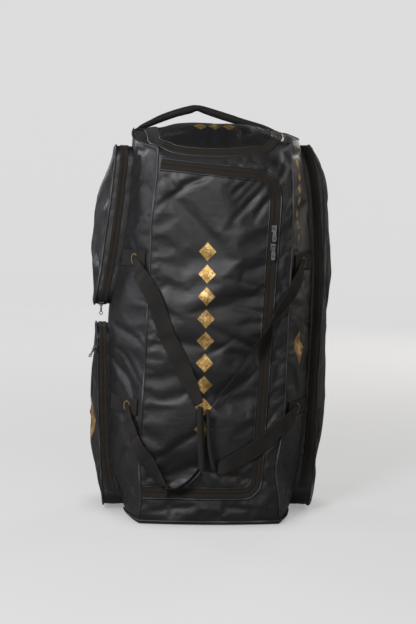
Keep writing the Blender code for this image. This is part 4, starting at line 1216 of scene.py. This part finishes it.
def settle_pocket(shape, rings, tip):
    """Settle a pocket's gusset and face as one cloth, held at the bag and along its cord."""
    band = shape.gusset
    both = band + rings
    pins = []
    for r in range(len(both)):
        if r == 0:
            hold = 1.0
        elif r in (len(band) - 1, len(band)):
            hold = LIP_HOLD
        else:
            hold = ZIP_BAND_HOLD if r < len(band) else SKIN_HOLD
        pins += [hold] * shape.count
    points = [p for ring in both for p in ring] + [tip]
    faces = ring_faces(len(both), shape.count)
    settled = settle_as_cloth(points, faces, pins + [SKIN_HOLD], POCKET_GROWTH,
                              POCKET_PRESSURE, POCKET_REACH)
    for r, ring in enumerate(both):
        ring[:] = settled[r * shape.count:(r + 1) * shape.count]
    shape.lip[:] = band[-1]
    return settled[-1]


def face_mesh(name, rings, tip):
    """Rings that shrink to a point, with UVs in the plane of the pocket."""
    points = [p for ring in rings for p in ring] + [tip]
    faces = ring_faces(len(rings), len(rings[0]))
    uvs = [[(points[i].y, points[i].z) for i in face] for face in faces]
    return fill_mesh(name, points, faces, uvs)


def zip_run(shape):
    """The stretch of the gusset that the zip takes, open at the bottom or at the back."""
    pocket, outline = shape.pocket, shape.outline
    beyond = pocket.corner + 0.005
    if pocket.zip_open == "low":
        kept = {k for k, p in enumerate(outline) if p.y > pocket.low + beyond}
    else:
        kept = {k for k, p in enumerate(outline) if p.x < pocket.back - beyond}
    first = next(k for k in kept if (k - 1) % shape.count not in kept)
    return [(first + k) % shape.count for k in range(len(kept))]


def make_pocket(pocket, surface, thread):
    """Make a pocket, and return the surface of its face."""
    shape = PocketShape(pocket, surface)
    name = pocket.name + "_pocket"
    rings, tip = shape.face_rings()
    tip = settle_pocket(shape, rings, tip)
    mesh = grid_mesh(name + "_band_cloth", shape.gusset, closed=True)
    add_piece(name + "_band_cloth", mesh, "cloth", [name + "_gusset"])
    add_piece(name + "_cloth", face_mesh(name + "_cloth", rings, tip), "cloth", [name + "_face"])

    frames = path_frames([(shape.lip[k], shape.away(k)) for k in range(shape.count)],
                         closed=True, smoothing=2)
    lump = binding_lumps if pocket.name == "right" else None
    cord_piece(name + "_cord", frames, [name + "_piping"], closed=True, lift=POCKET_CORD_LIFT,
               lump=lump)
    inner = rings[SEWN_RING] + rings[SEWN_RING][:1]
    thread.run(inner, [Vector((shape.side, 0, 0))] * len(inner))

    run = zip_run(shape)
    frames = path_frames(shape.gusset_spots(run, 0.5), smoothing=2)
    zip_band(name + "_zip_band", frames, None, [name + "_zip"], thread, POCKET_ZIP_SCALE)
    rim = path_frames(shape.gusset_spots(range(shape.count), RIM_SHARE), closed=True,
                      smoothing=2)
    thread.beside(rim, 0.0, 0.0004)
    return Surface([p for ring in rings for p in ring] + [tip],
                   ring_faces(len(rings), shape.count))


def binding_lumps(step):
    """The uneven thickness of a bound edge."""
    place = Vector((step * 0.21, 0.0, 4.0))
    return 1.25 + 0.45 * noise.noise(place) + 0.20 * noise.noise(place * 3.1)


# Webbing

def spread_rows(rows, steps):
    """Rows of a table with smooth rows between them, a given number of steps apart."""
    smooth = []
    last = len(rows) - 1
    for i in range(last):
        before, beyond = rows[max(i - 1, 0)], rows[min(i + 2, last)]
        for step in range(steps):
            smooth.append(rows[i]._make(
                cubic(*four, step / steps)
                for four in zip(before, rows[i], rows[i + 1], beyond)))
    smooth.append(rows[last])
    return smooth


# A webbing's section: shares of half its width and half its thickness
WEB_SECTION = ((-1.0, 0.0), (-0.97, 0.85), (-0.86, 1.0), (-0.45, 1.0), (0.0, 1.0), (0.45, 1.0),
               (0.86, 1.0), (0.97, 0.85), (1.0, 0.0), (0.97, -0.85), (0.86, -1.0),
               (0.45, -1.0), (0.0, -1.0), (-0.45, -1.0), (-0.86, -1.0), (-0.97, -0.85))


def strap_frames(surface, points):
    """Rows along a strap, and their frames: lifted off the cloth and rolled about the strap."""
    rows = spread_rows(points, STRAP_STEPS)
    spots = [surface.from_front(row.x, row.z) for row in rows]
    frames = path_frames(spots, smoothing=STRAP_STEPS)
    middles = [spot.point + spot.normal * row.lift for spot, row in zip(frames, rows)]
    turned = []
    for spot, row, middle in zip(path_frames([(m, f.normal) for m, f in zip(middles, frames)],
                                             smoothing=3), rows, middles):
        facing = Matrix.Rotation(radians(row.roll), 3, spot.along) @ spot.normal
        turned.append(Spot(middle, facing, spot.along, spot.along.cross(facing)))
    return rows, turned


STRAP_SAG = 0.0012
STRAP_SAG_PITCH = 22.0
STRAP_SEAM = 0.40


def make_strap(name, points, surface, thread):
    rows, frames = strap_frames(surface, points)
    rings = []
    for row, spot in zip(rows, frames):
        half = spot.across * (WEBBING_WIDTH * row.width / 2)
        sag = noise.noise(spot.point * STRAP_SAG_PITCH) * STRAP_SAG
        ring = []
        for across, through in WEB_SECTION:
            cup = sag * (across**2 - 0.4)
            ring.append(spot.point + half * across
                        + spot.normal * (through * WEBBING_THICKNESS / 2 + cup))
        rings.append(ring)
    mesh = grid_mesh(name + "_web", rings, closed=True, capped=True)
    add_piece(name + "_web", mesh, "webbing", [name])
    lift = WEBBING_THICKNESS / 2 + 0.0002
    for side in (-1, 1):
        line = [spot.point + spot.across * (side * WEBBING_WIDTH * row.width * STRAP_SEAM)
                + spot.normal * lift for row, spot in zip(rows, frames)]
        thread.run(line, [spot.normal for spot in frames])


GRIP_STEPS = 8
PAD_SIDES = 40
TAIL_STEPS = 6
TAIL_SPACING = 0.003
TAIL_LIFTS = (0.0006, 0.0006 + WEBBING_THICKNESS, 0.0006 + WEBBING_THICKNESS)
ANCHOR_LIFTS = (0.0003, 0.0025, 0.0028)
PAD_SQUARENESS = 0.85


def swell_out(value):
    return abs(value) ** PAD_SQUARENESS * (1 if value > 0 else -1)


def oval_ring(centre, across, deep, side_axis):
    """A rounded section, across one axis and deep along Y."""
    ring = []
    for k in range(PAD_SIDES):
        angle = 2 * pi * k / PAD_SIDES
        first = swell_out(cos(angle)) * across / 2
        second = swell_out(sin(angle)) * deep / 2
        ring.append(centre + side_axis * first + Vector((0, second, 0)))
    return ring


def make_pad(name, rings, sewn_at, end_rings, thread):
    """A closed padded sleeve with two rows of stitches along it."""
    mesh = grid_mesh(name + "_pad", rings, closed=True, capped=True)
    item = add_piece(name + "_pad", mesh, "webbing", [name])
    sewn = rings[end_rings:-end_rings]
    for share in sewn_at:
        k = round(PAD_SIDES * share)
        thread.run([ring[k] for ring in sewn],
                   [(ring[k] - sum(ring, Vector()) / PAD_SIDES).normalized() for ring in sewn])


def make_grips(thread):
    """The two grips, drawn in a little at their sewn ends."""
    for name, stations in GRIPS.items():
        rings = []
        for k, row in enumerate(spread_rows(stations, GRIP_STEPS)):
            dimple = 1.0 - 0.05 * abs(sin(k * 0.55))
            rings.append(oval_ring(Vector((row.x, row.y, row.z)), row.across,
                                   row.deep * dimple, Vector((1, 0, 0))))
        make_pad(name, rings, (0.66, 0.84), 4, thread)


def make_grab_handle(surface, thread):
    """The rolled handle over the end and its two sewn feet."""
    rings = []
    for k, row in enumerate(spread_rows(HANDLE, GRIP_STEPS)):
        wrinkle = 1.0 - 0.035 * noise.noise(Vector((k * 0.45, 0, 0)))
        rings.append(oval_ring(Vector((row.x, HANDLE_Y, row.z)), row.tall * wrinkle,
                               row.deep, Vector((0, 0, 1))))
    make_pad("grab_handle", rings, (0.25, 0.75), 12, thread)
    for name, path in HANDLE_TAILS.items():
        smooth = [Vector(p) for p in spread_rows(path, TAIL_STEPS)]
        spots = [surface.from_above(p.x, p.y) for p in resample(smooth, TAIL_SPACING)]
        frames = path_frames(spots, smoothing=5)
        tail = flat_webbing(name, frames, HANDLE[0].deep / 2, TAIL_LIFTS, surface)
        box_stitches(tail, frames[len(frames) // 2].normal, thread)


def flat_webbing(name, frames, half, lifts, surface):
    """Flat webbing sewn down on the cloth. The lifts are its edge, its shoulder and its top."""
    edge, shoulder, top = lifts
    profile = [(-half, edge), (-half * 0.97, shoulder)]
    profile += [(half * s, top) for s in (-0.8, -0.4, 0.0, 0.4, 0.8)]
    profile += [(half * 0.97, shoulder), (half, edge)]
    rows = lay_band(frames, profile, surface)
    add_piece(name + "_web", grid_mesh(name + "_web", rows), "webbing", [name])
    return rows


BOX_STITCH = {"pitch": 0.0036, "length": 0.0026}
BOX_LIFT = 0.0003


def box_stitches(rows, up, thread):
    """A sewn box with a cross in it, on a grid of points."""
    last, left, right = len(rows) - 2, 2, len(rows[0]) - 3

    def seam(*places):
        line = [rows[r][c] + up * BOX_LIFT for r, c in places]
        thread.run(line, [up] * len(line), **BOX_STITCH)

    for c in (left, right):
        seam(*[(r, c) for r in range(1, last + 1)])
    for r in (1, last):
        seam(*[(r, c) for c in range(left, right + 1)])
    seam((1, left), (last, right))
    seam((last, left), (1, right))


def make_anchors(surface, thread):
    for anchor in ANCHORS:
        name = anchor.name + "_anchor"
        ys = [lerp(ANCHOR_FRONT, ANCHOR_BACK, i / ANCHOR_STEPS) for i in range(ANCHOR_STEPS + 1)]
        spots = [surface.from_side(anchor.side, y, anchor.height) for y in ys]
        frames = path_frames(spots, smoothing=4)
        rows = flat_webbing(name, frames, WEBBING_WIDTH / 2, ANCHOR_LIFTS, surface)
        sewn = frames[ANCHOR_STEPS // 2:]
        box_stitches(rows[ANCHOR_STEPS // 2:], sewn[len(sewn) // 2].normal, thread)
        make_ring(anchor, surface)


def make_ring(anchor, surface):
    """The gold ring is a close row of satin stitches along an arc."""
    point, normal = surface.from_side(anchor.side, anchor.ring_y, anchor.height)
    towards_front = normal.cross(Vector((0, 0, anchor.side))).normalized()
    up = (Vector((0, 0, 1)) - normal * normal.z).normalized()
    gold = Thread()
    centre = point + normal * RING_LIFT
    count = round((anchor.ring_end - anchor.ring_start) / RING_PITCH)
    for k in range(count + 1):
        angle = radians(lerp(anchor.ring_start, anchor.ring_end, k / count))
        lean = angle + radians(RING_LEAN)
        near = towards_front * cos(angle) + up * sin(angle)
        far = towards_front * cos(lean) + up * sin(lean)
        gold.stitch(centre + near * (RING_RADIUS - RING_HALF),
                    centre + far * (RING_RADIUS + RING_HALF), normal, RING_THREAD)
    item = gold.piece(anchor.name + "_gold_ring", "gold")
    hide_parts(anchor.name + "_ring")


# Generic gold ornament, in place of the lettering: lozenges of foil laid on the cloth

LOZENGES = table(
    "name ground view x z count tall wide gap across",
    ("lid_ornament", "body", "front", -0.025, 0.430, 9, 0.042, 0.040, 0.009, False),
    ("gusset_ornament", "body", "right", -0.146, 0.755, 7, 0.022, 0.016, 0.006, False),
    ("gusset_badge", "body", "right", -0.138, 0.412, 1, 0.080, 0.034, 0.0, False),
    ("end_ornament", "body", "top", -0.004, -0.062, 3, 0.030, 0.040, 0.004, True),
    ("pocket_badge", "lower_left", "left", 0.004, 0.215, 1, 0.105, 0.070, 0.0, False),
)
FOIL_STEPS = 10
FOIL_LIFT = 0.00035
FOIL_TIP = 0.0006


def seen_from(surface, view, first, second):
    if view == "front":
        return surface.from_front(first, second)
    if view == "top":
        return surface.from_above(first, second)
    return surface.from_side(-1 if view == "left" else 1, first, second)


def foil_patch(surface, group, centre):
    """The points of one lozenge: rows that widen to the middle and narrow again."""
    rows = []
    for i in range(FOIL_STEPS + 1):
        v = 2 * i / FOIL_STEPS - 1
        half = max(FOIL_TIP, (1 - abs(v)) * group.wide / 2)
        row = []
        for j in range(FOIL_STEPS + 1):
            u = (2 * j / FOIL_STEPS - 1) * half
            along = v * group.tall / 2
            first, second = (along, u) if group.across else (u, along)
            place, normal = seen_from(surface, group.view, centre[0] + first,
                                      centre[1] + second)
            row.append(place + normal * FOIL_LIFT)
        rows.append(row)
    return rows


def make_ornaments(surfaces):
    for group in LOZENGES:
        for k in range(group.count):
            step = (k - (group.count - 1) / 2) * (group.tall + group.gap)
            centre = (group.x + step, group.z) if group.across else (group.x, group.z - step)
            name = f"{group.name}_{k + 1}"
            rows = foil_patch(surfaces[group.ground], group, centre)
            add_piece(name, grid_mesh(name, rows), "foil")


# Materials

def add_node(tree, kind, links=None, values=None, **settings):
    """One shader node: settings by name, values for sockets, and outputs linked to sockets."""
    made = tree.nodes.new(kind)
    for key, value in settings.items():
        setattr(made, key, value)
    for socket, value in (values or {}).items():
        made.inputs[socket].default_value = value
    for socket, output in (links or {}).items():
        tree.links.new(output, made.inputs[socket])
    return made


def metres(tree):
    return add_node(tree, "ShaderNodeUVMap", uv_map="Metres").outputs["UV"]


def objects_place(tree):
    return add_node(tree, "ShaderNodeTexCoord").outputs["Object"]


def threads(tree, coords, pitch, direction, distortion=0.0):
    """Parallel threads at a pitch in metres, as a height from 0 to 1."""
    return add_node(tree, "ShaderNodeTexWave", {"Vector": coords},
                    {"Scale": 0.314 / pitch, "Distortion": distortion},
                    bands_direction=direction, wave_profile="SIN").outputs["Fac"]


def grain(tree, coords, size, detail=4.0):
    return add_node(tree, "ShaderNodeTexNoise", {"Vector": coords},
                    {"Scale": 1.0 / size, "Detail": detail}).outputs["Fac"]


def mix_heights(tree, first, second, operation="ADD"):
    return add_node(tree, "ShaderNodeMath", {0: first, 1: second},
                    operation=operation).outputs["Value"]


def scaled(tree, value, factor):
    return add_node(tree, "ShaderNodeMath", {0: value}, {1: factor},
                    operation="MULTIPLY").outputs["Value"]


def ramp(tree, value, stops):
    made = add_node(tree, "ShaderNodeValToRGB", {"Fac": value})
    elements = made.color_ramp.elements
    while len(elements) < len(stops):
        elements.new(0.5)
    for element, (place, colour) in zip(elements, stops):
        element.position = place
        element.color = (*colour, 1.0)
    return made.outputs["Color"]


def bump(tree, height, distance, strength, before=None):
    links = {"Height": height}
    if before:
        links["Normal"] = before
    return add_node(tree, "ShaderNodeBump", links,
                    {"Strength": strength, "Distance": distance}).outputs["Normal"]


def spread_range(tree, value, low, high):
    return add_node(tree, "ShaderNodeMapRange", {"Value": value},
                    {"To Min": low, "To Max": high}).outputs["Result"]


def start_material(name, **sockets):
    """A new material, with values for its shader's sockets."""
    material = bpy.data.materials.new(name)
    material.use_nodes = True
    shader = material.node_tree.nodes["Principled BSDF"]
    for socket, value in sockets.items():
        shader.inputs[socket.replace("_", " ")].default_value = value
    MATERIALS[name] = material
    return material.node_tree, shader


def finish(tree, shader, colour, normal, rough, low, high):
    """Link a colour, a normal, and a roughness that runs from low to high."""
    tree.links.new(colour, shader.inputs["Base Color"])
    tree.links.new(normal, shader.inputs["Normal"])
    tree.links.new(spread_range(tree, rough, low, high), shader.inputs["Roughness"])


def cloth_material(name, dark, light, thread_pitch, roughness):
    """Coated plain-weave nylon, a little uneven in tone, its roughness following its fine
    crumples.
    """
    tree, shader = start_material(name, Sheen_Weight=0.03, Sheen_Roughness=0.4,
                                  Specular_IOR_Level=0.50)
    coords = metres(tree)
    place = objects_place(tree)
    warp = threads(tree, coords, thread_pitch, "X", 0.6)
    weft = threads(tree, coords, thread_pitch, "Y", 0.6)
    weave = mix_heights(tree, warp, weft, "MAXIMUM")
    fuzz = grain(tree, coords, 0.0016, 2.0)
    crumple = grain(tree, place, 0.024, 5.0)
    cloud = grain(tree, place, 0.12, 3.0)
    stretched = add_node(tree, "ShaderNodeMapping", {"Vector": coords},
                         {"Scale": (0.30, 1.0, 1.0)})
    creases = grain(tree, stretched.outputs["Vector"], 0.012, 3.0)
    tone = mix_heights(tree, scaled(tree, cloud, 0.6), scaled(tree, fuzz, 0.4))
    colour = ramp(tree, tone, ((0.30, dark), (0.70, light)))
    normal = bump(tree, crumple, 0.0030, 0.30)
    normal = bump(tree, creases, 0.0014, 0.35, normal)
    normal = bump(tree, mix_heights(tree, weave, fuzz), 0.00022, 0.45, normal)
    finish(tree, shader, colour, normal, crumple, roughness - 0.10, roughness + 0.10)


def webbing_material():
    """Coarse ribbed webbing, its ribs across the strap."""
    tree, shader = start_material("webbing", Sheen_Weight=0.03, Sheen_Roughness=0.5,
                                  Specular_IOR_Level=0.25)
    coords = metres(tree)
    ribs = threads(tree, coords, 0.0016, "Y", 1.2)
    cords = threads(tree, coords, 0.0032, "X", 0.4)
    fuzz = grain(tree, coords, 0.0012, 3.0)
    cloud = grain(tree, objects_place(tree), 0.040, 4.0)
    tone = mix_heights(tree, scaled(tree, cloud, 0.7), scaled(tree, fuzz, 0.3))
    colour = ramp(tree, tone, ((0.30, (0.0050, 0.0044, 0.0038)), (0.72, (0.0140, 0.0120, 0.0100))))
    weave = mix_heights(tree, scaled(tree, ribs, 0.7), scaled(tree, cords, 0.3))
    normal = bump(tree, mix_heights(tree, weave, scaled(tree, fuzz, 0.5)), 0.00045, 0.8)
    finish(tree, shader, colour, normal, fuzz, 0.62, 0.86)


def tape_material():
    """A zip's woven tape, a brownish black, with ribs along its coil."""
    tree, shader = start_material("tape", Sheen_Weight=0.03, Sheen_Roughness=0.5,
                                  Specular_IOR_Level=0.20)
    coords = metres(tree)
    split = add_node(tree, "ShaderNodeSeparateXYZ", {"Vector": coords})
    off_centre = add_node(tree, "ShaderNodeMath", {0: split.outputs["X"]},
                          operation="ABSOLUTE").outputs["Value"]
    on_coil = add_node(tree, "ShaderNodeMath", {0: off_centre}, {1: COIL_HALF},
                       operation="LESS_THAN")
    coil = threads(tree, coords, 0.0013, "Y")
    tape = threads(tree, coords, 0.0009, "DIAGONAL", 0.3)
    height = mix_heights(tree, mix_heights(tree, coil, on_coil.outputs["Value"], "MULTIPLY"),
                         scaled(tree, tape, 0.35))
    fuzz = grain(tree, coords, 0.0014, 3.0)
    colour = ramp(tree, fuzz, ((0.25, (0.0085, 0.0068, 0.0052)), (0.75, (0.020, 0.0165, 0.0125))))
    normal = bump(tree, height, 0.00045, 0.8)
    finish(tree, shader, colour, normal, fuzz, 0.66, 0.88)


def piping_material():
    tree, shader = start_material("piping", Specular_IOR_Level=0.5)
    coords = metres(tree)
    twist = threads(tree, coords, 0.0024, "DIAGONAL", 0.5)
    fuzz = grain(tree, coords, 0.0020, 3.0)
    # painted sheen: lighter grey patches along the cord stand in for where the piping catches the
    # light; the fine fuzz is the cord's own tone
    painted_sheen = grain(tree, objects_place(tree), 0.09, 3.0)
    tone = mix_heights(tree, scaled(tree, painted_sheen, 0.75), scaled(tree, fuzz, 0.25))
    colour = ramp(tree, tone, ((0.44, (0.008, 0.008, 0.009)), (0.55, (0.030, 0.030, 0.032)),
                               (0.66, (0.11, 0.11, 0.115))))
    finish(tree, shader, colour, bump(tree, twist, 0.0003, 0.5), fuzz, 0.36, 0.52)


def thread_material():
    tree, shader = start_material("thread", Specular_IOR_Level=0.4)
    coords = objects_place(tree)
    strands = grain(tree, coords, 0.0006, 2.0)
    colour = ramp(tree, strands, ((0.3, (0.010, 0.010, 0.010)), (0.7, (0.034, 0.033, 0.032))))
    finish(tree, shader, colour, bump(tree, strands, 0.0002, 0.5), strands, 0.45, 0.65)


def gold_material():
    tree, shader = start_material("gold", Metallic=0.45, Specular_IOR_Level=0.5)
    coords = objects_place(tree)
    strands = grain(tree, coords, 0.0010, 3.0)
    colour = ramp(tree, strands, ((0.25, (0.10, 0.055, 0.018)), (0.75, (0.42, 0.26, 0.09))))
    finish(tree, shader, colour, bump(tree, strands, 0.0003, 0.6), strands, 0.34, 0.52)


def foil_material():
    """Printed gold foil, crazed by folding and worn off in small specks."""
    tree, shader = start_material("foil", Specular_IOR_Level=0.5)
    coords = metres(tree)
    place = objects_place(tree)
    cracks = add_node(tree, "ShaderNodeTexVoronoi", {"Vector": place}, {"Scale": 95.0},
                      feature="DISTANCE_TO_EDGE").outputs["Distance"]
    crazed = spread_range(tree, cracks, 0.0, 1.0)
    streaks = grain(tree, place, 0.020, 6.0)
    worn = ramp(tree, crazed, ((0.015, (0.0, 0.0, 0.0)), (0.05, (1.0, 1.0, 1.0))))
    foil = ramp(tree, streaks, ((0.30, (0.22, 0.12, 0.030)), (0.52, (0.52, 0.33, 0.105)),
                                (0.70, (0.86, 0.64, 0.28))))
    colour = add_node(tree, "ShaderNodeMix", {"Factor": worn}, data_type="RGBA")
    colour.inputs["A"].default_value = (0.10, 0.055, 0.020, 1.0)
    tree.links.new(foil, colour.inputs[7])
    weave = mix_heights(tree, threads(tree, coords, 0.0009, "X", 0.5),
                        threads(tree, coords, 0.0009, "Y", 0.5), "MAXIMUM")
    normal = bump(tree, streaks, 0.0020, 0.4)
    normal = bump(tree, weave, 0.0002, 0.5, normal)
    finish(tree, shader, colour.outputs[2], normal, streaks, 0.26, 0.50)
    tree.links.new(spread_range(tree, worn, 0.0, 0.75), shader.inputs["Metallic"])


def metal_material():
    """Dark plated zip metal, brushed and rubbed brighter in places."""
    tree, shader = start_material("metal", Specular_IOR_Level=0.5)
    place = objects_place(tree)
    rub = grain(tree, place, 0.0040, 5.0)
    scratch = grain(tree, place, 0.0008, 2.0)
    colour = ramp(tree, rub, ((0.30, (0.060, 0.060, 0.063)), (0.70, (0.30, 0.30, 0.31))))
    finish(tree, shader, colour, bump(tree, scratch, 0.0001, 0.3), scratch, 0.28, 0.48)
    tree.links.new(spread_range(tree, rub, 0.85, 1.0), shader.inputs["Metallic"])


def make_materials():
    cloth_material("cloth", (0.0026, 0.0026, 0.0031), (0.0070, 0.0066, 0.0076), 0.0011, 0.43)
    cloth_material("base", (0.004, 0.004, 0.004), (0.009, 0.009, 0.009), 0.0016, 0.60)
    webbing_material()
    tape_material()
    piping_material()
    thread_material()
    gold_material()
    foil_material()
    metal_material()


METAL_NODES = [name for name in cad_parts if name.endswith(("_slider", "_pull"))]


def dress_metal():
    """The sliders and their pulls keep their CAD shape, with softened edges."""
    for name in METAL_NODES:
        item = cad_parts[name]
        item.data.materials.clear()
        item.data.materials.append(MATERIALS["metal"])
        edges = item.modifiers.new("Edges", "BEVEL")
        edges.width = 0.00025
        edges.segments = 2
        edges.limit_method = "ANGLE"


# Stage, light and camera

FLOOR_RADIUS = 6.0
SWEEP_RADIUS = 2.0
WALL_TOP = 8.0
STAGE_SIDES = 96
BACKDROP_ALBEDO = (0.20, 0.20, 0.20, 1.0)
WHITE = (1.0, 1.0, 1.0, 1.0)
SWEEP_STEPS = 12
FLOOR_SEEN = 0.512
WALL_SEEN = 0.680
SEEN_FROM = 0.9
SEEN_TO = 5.5
BACKDROP_BOUNCE = 0.03
SKY_SEEN = 0.716
SKY_BOUNCE = 0.035
PAINTED_SHADOW_REACH = 0.07
PAINTED_SHADOW_TONE = 0.55


def seen_or_bounced(tree, shader, socket, bounced, seen):
    """One brightness for what the eye sees directly and another for the light it gives."""
    ray = add_node(tree, "ShaderNodeLightPath").outputs["Is Camera Ray"]
    links, values = {"Value": ray}, {"To Min": bounced}
    (values if isinstance(seen, float) else links)["To Max"] = seen
    made = add_node(tree, "ShaderNodeMapRange", links, values)
    tree.links.new(made.outputs["Result"], shader.inputs[socket])


def backdrop_tone(tree):
    """The far floor gets less light than the near floor, so it glows a little more; the floor
    right under the bag is darkened by a painted contact shadow."""
    away = add_node(tree, "ShaderNodeVectorMath", {0: objects_place(tree)}, operation="LENGTH")
    made = add_node(tree, "ShaderNodeMapRange", {"Value": away.outputs["Value"]},
                    {"From Min": SEEN_FROM, "From Max": SEEN_TO,
                     "To Min": FLOOR_SEEN, "To Max": WALL_SEEN})
    # painted contact shadow: the floor's glow is darkened by ambient occlusion where the bag is
    # near
    open_sky = add_node(tree, "ShaderNodeAmbientOcclusion", None, {"Distance": PAINTED_SHADOW_REACH},
                        samples=1)
    shade = spread_range(tree, open_sky.outputs["AO"], PAINTED_SHADOW_TONE, 1.0)
    return mix_heights(tree, made.outputs["Result"], shade, "MULTIPLY")


def make_stage():
    """A round pale floor that curves up into a pale wall on every side."""
    profile = [(0.02, 0.0), (FLOOR_RADIUS, 0.0)]
    for step in range(1, SWEEP_STEPS + 1):
        angle = pi / 2 * step / SWEEP_STEPS
        profile.append((FLOOR_RADIUS + SWEEP_RADIUS * sin(angle),
                        SWEEP_RADIUS * (1 - cos(angle))))
    profile.append((FLOOR_RADIUS + SWEEP_RADIUS, WALL_TOP))
    turns = [2 * pi * k / STAGE_SIDES for k in range(STAGE_SIDES)]
    rows = [[Vector((away * cos(a), away * sin(a), z)) for a in turns] for away, z in profile]
    mesh = grid_mesh("backdrop", [[Vector()] * STAGE_SIDES] + rows, closed=True)
    tree, shader = start_material("backdrop", Base_Color=BACKDROP_ALBEDO, Roughness=0.9,
                                  Specular_IOR_Level=0.0, Emission_Color=WHITE)
    seen_or_bounced(tree, shader, "Emission Strength", BACKDROP_BOUNCE, backdrop_tone(tree))
    mesh.materials.append(MATERIALS["backdrop"])
    item = bpy.data.objects.new("backdrop", mesh)
    bpy.context.scene.collection.objects.link(item)


COOL = (0.95, 0.96, 1.0)
WARM = (1.0, 0.93, 0.85)
SOFTBOXES = table(
    "name place target width height power tint",
    ("key", (-1.9, -3.0, 2.3), (0.0, 0.0, 0.60), 1.0, 1.0, 150, COOL),
    ("front", (0.7, -4.4, 1.6), (0.0, 0.0, 0.50), 1.2, 0.8, 34, WARM),
    ("top", (0.2, -0.8, 3.2), (0.0, 0.0, 0.9), 1.0, 0.6, 5, WARM),
    ("left", (-3.2, -0.3, 1.4), (0.0, 0.0, 0.5), 0.8, 1.8, 34, COOL),
    ("right", (3.0, 1.0, 1.5), (0.0, 0.0, 0.5), 0.8, 1.8, 13, WARM),
    ("back_left", (-2.7, 3.2, 2.2), (0.0, 0.0, 0.5), 1.0, 1.2, 40, COOL),
    ("back_right", (2.2, 3.6, 2.2), (0.0, 0.0, 0.5), 1.0, 1.2, 60, WARM),
)


def make_light():
    for box in SOFTBOXES:
        lamp = bpy.data.lights.new(box.name, "AREA")
        lamp.shape = "RECTANGLE"
        lamp.size = box.width
        lamp.size_y = box.height
        lamp.energy = box.power
        lamp.color = box.tint
        item = bpy.data.objects.new(box.name, lamp)
        item.location = box.place
        aim = Vector(box.target) - Vector(box.place)
        item.rotation_euler = aim.to_track_quat("-Z", "Y").to_euler()
        bpy.context.scene.collection.objects.link(item)
    world = bpy.data.worlds.new("studio")
    world.use_nodes = True
    tree = world.node_tree
    sky = tree.nodes["Background"]
    sky.inputs["Color"].default_value = WHITE
    seen_or_bounced(tree, sky, "Strength", SKY_BOUNCE, SKY_SEEN)
    bpy.context.scene.world = world
    bpy.context.scene.view_settings.view_transform = "Standard"


CAMERA_PLACE = Vector((-0.3345, -3.1825, 0.755))
CAMERA_TURN = radians(-6.0)
CAMERA_PITCH = radians(4.92)
CAMERA_ROLL = radians(1.7)
CAMERA_LENS = 76.2
SENSOR = 36.0


def make_camera():
    """The photograph's viewpoint: turned, pitched down and rolled a little."""
    ahead = Vector((-sin(CAMERA_TURN) * cos(CAMERA_PITCH), cos(CAMERA_TURN) * cos(CAMERA_PITCH),
                    -sin(CAMERA_PITCH)))
    level = Vector((cos(CAMERA_TURN), sin(CAMERA_TURN), 0.0))
    upright = level.cross(ahead)
    right = level * cos(CAMERA_ROLL) + upright * sin(CAMERA_ROLL)
    up = upright * cos(CAMERA_ROLL) - level * sin(CAMERA_ROLL)
    lens = bpy.data.cameras.new("camera")
    lens.lens = CAMERA_LENS
    lens.sensor_width = SENSOR
    item = bpy.data.objects.new("camera", lens)
    facing = Matrix((right, up, -ahead)).transposed().to_4x4()
    item.matrix_world = Matrix.Translation(CAMERA_PLACE) @ facing
    bpy.context.scene.collection.objects.link(item)
    bpy.context.scene.camera = item


# The whole bag


def dress_bag():
    rows = skin_rows()
    shape_end(rows)
    soften_front_rim(rows)
    settle_skin(rows)
    skin = Skin(rows, CROWN)
    thread = Thread()
    make_panels(skin)
    make_base()
    make_piping(skin, thread)
    for name, frames in (("lid", lid_frames(skin.surface)), ("end", flap_frames(skin.surface))):
        zip_band(name + "_zip_band", frames, skin.surface, [name + "_zip_tape"], thread)
        hem_bands(name + "_zip_hem", frames, skin.surface)
    surfaces = {"body": skin.surface}
    for pocket in POCKETS:
        surfaces[pocket.name] = make_pocket(pocket, skin.surface, thread)
    make_anchors(skin.surface, thread)
    for name, points in STRAPS.items():
        make_strap(name, points, skin.surface, thread)
    make_grips(thread)
    make_grab_handle(skin.surface, thread)
    make_ornaments(surfaces)
    thread.piece("sewing_thread", "thread")
    dress_metal()


make_materials()
make_camera()
make_stage()
make_light()
dress_bag()
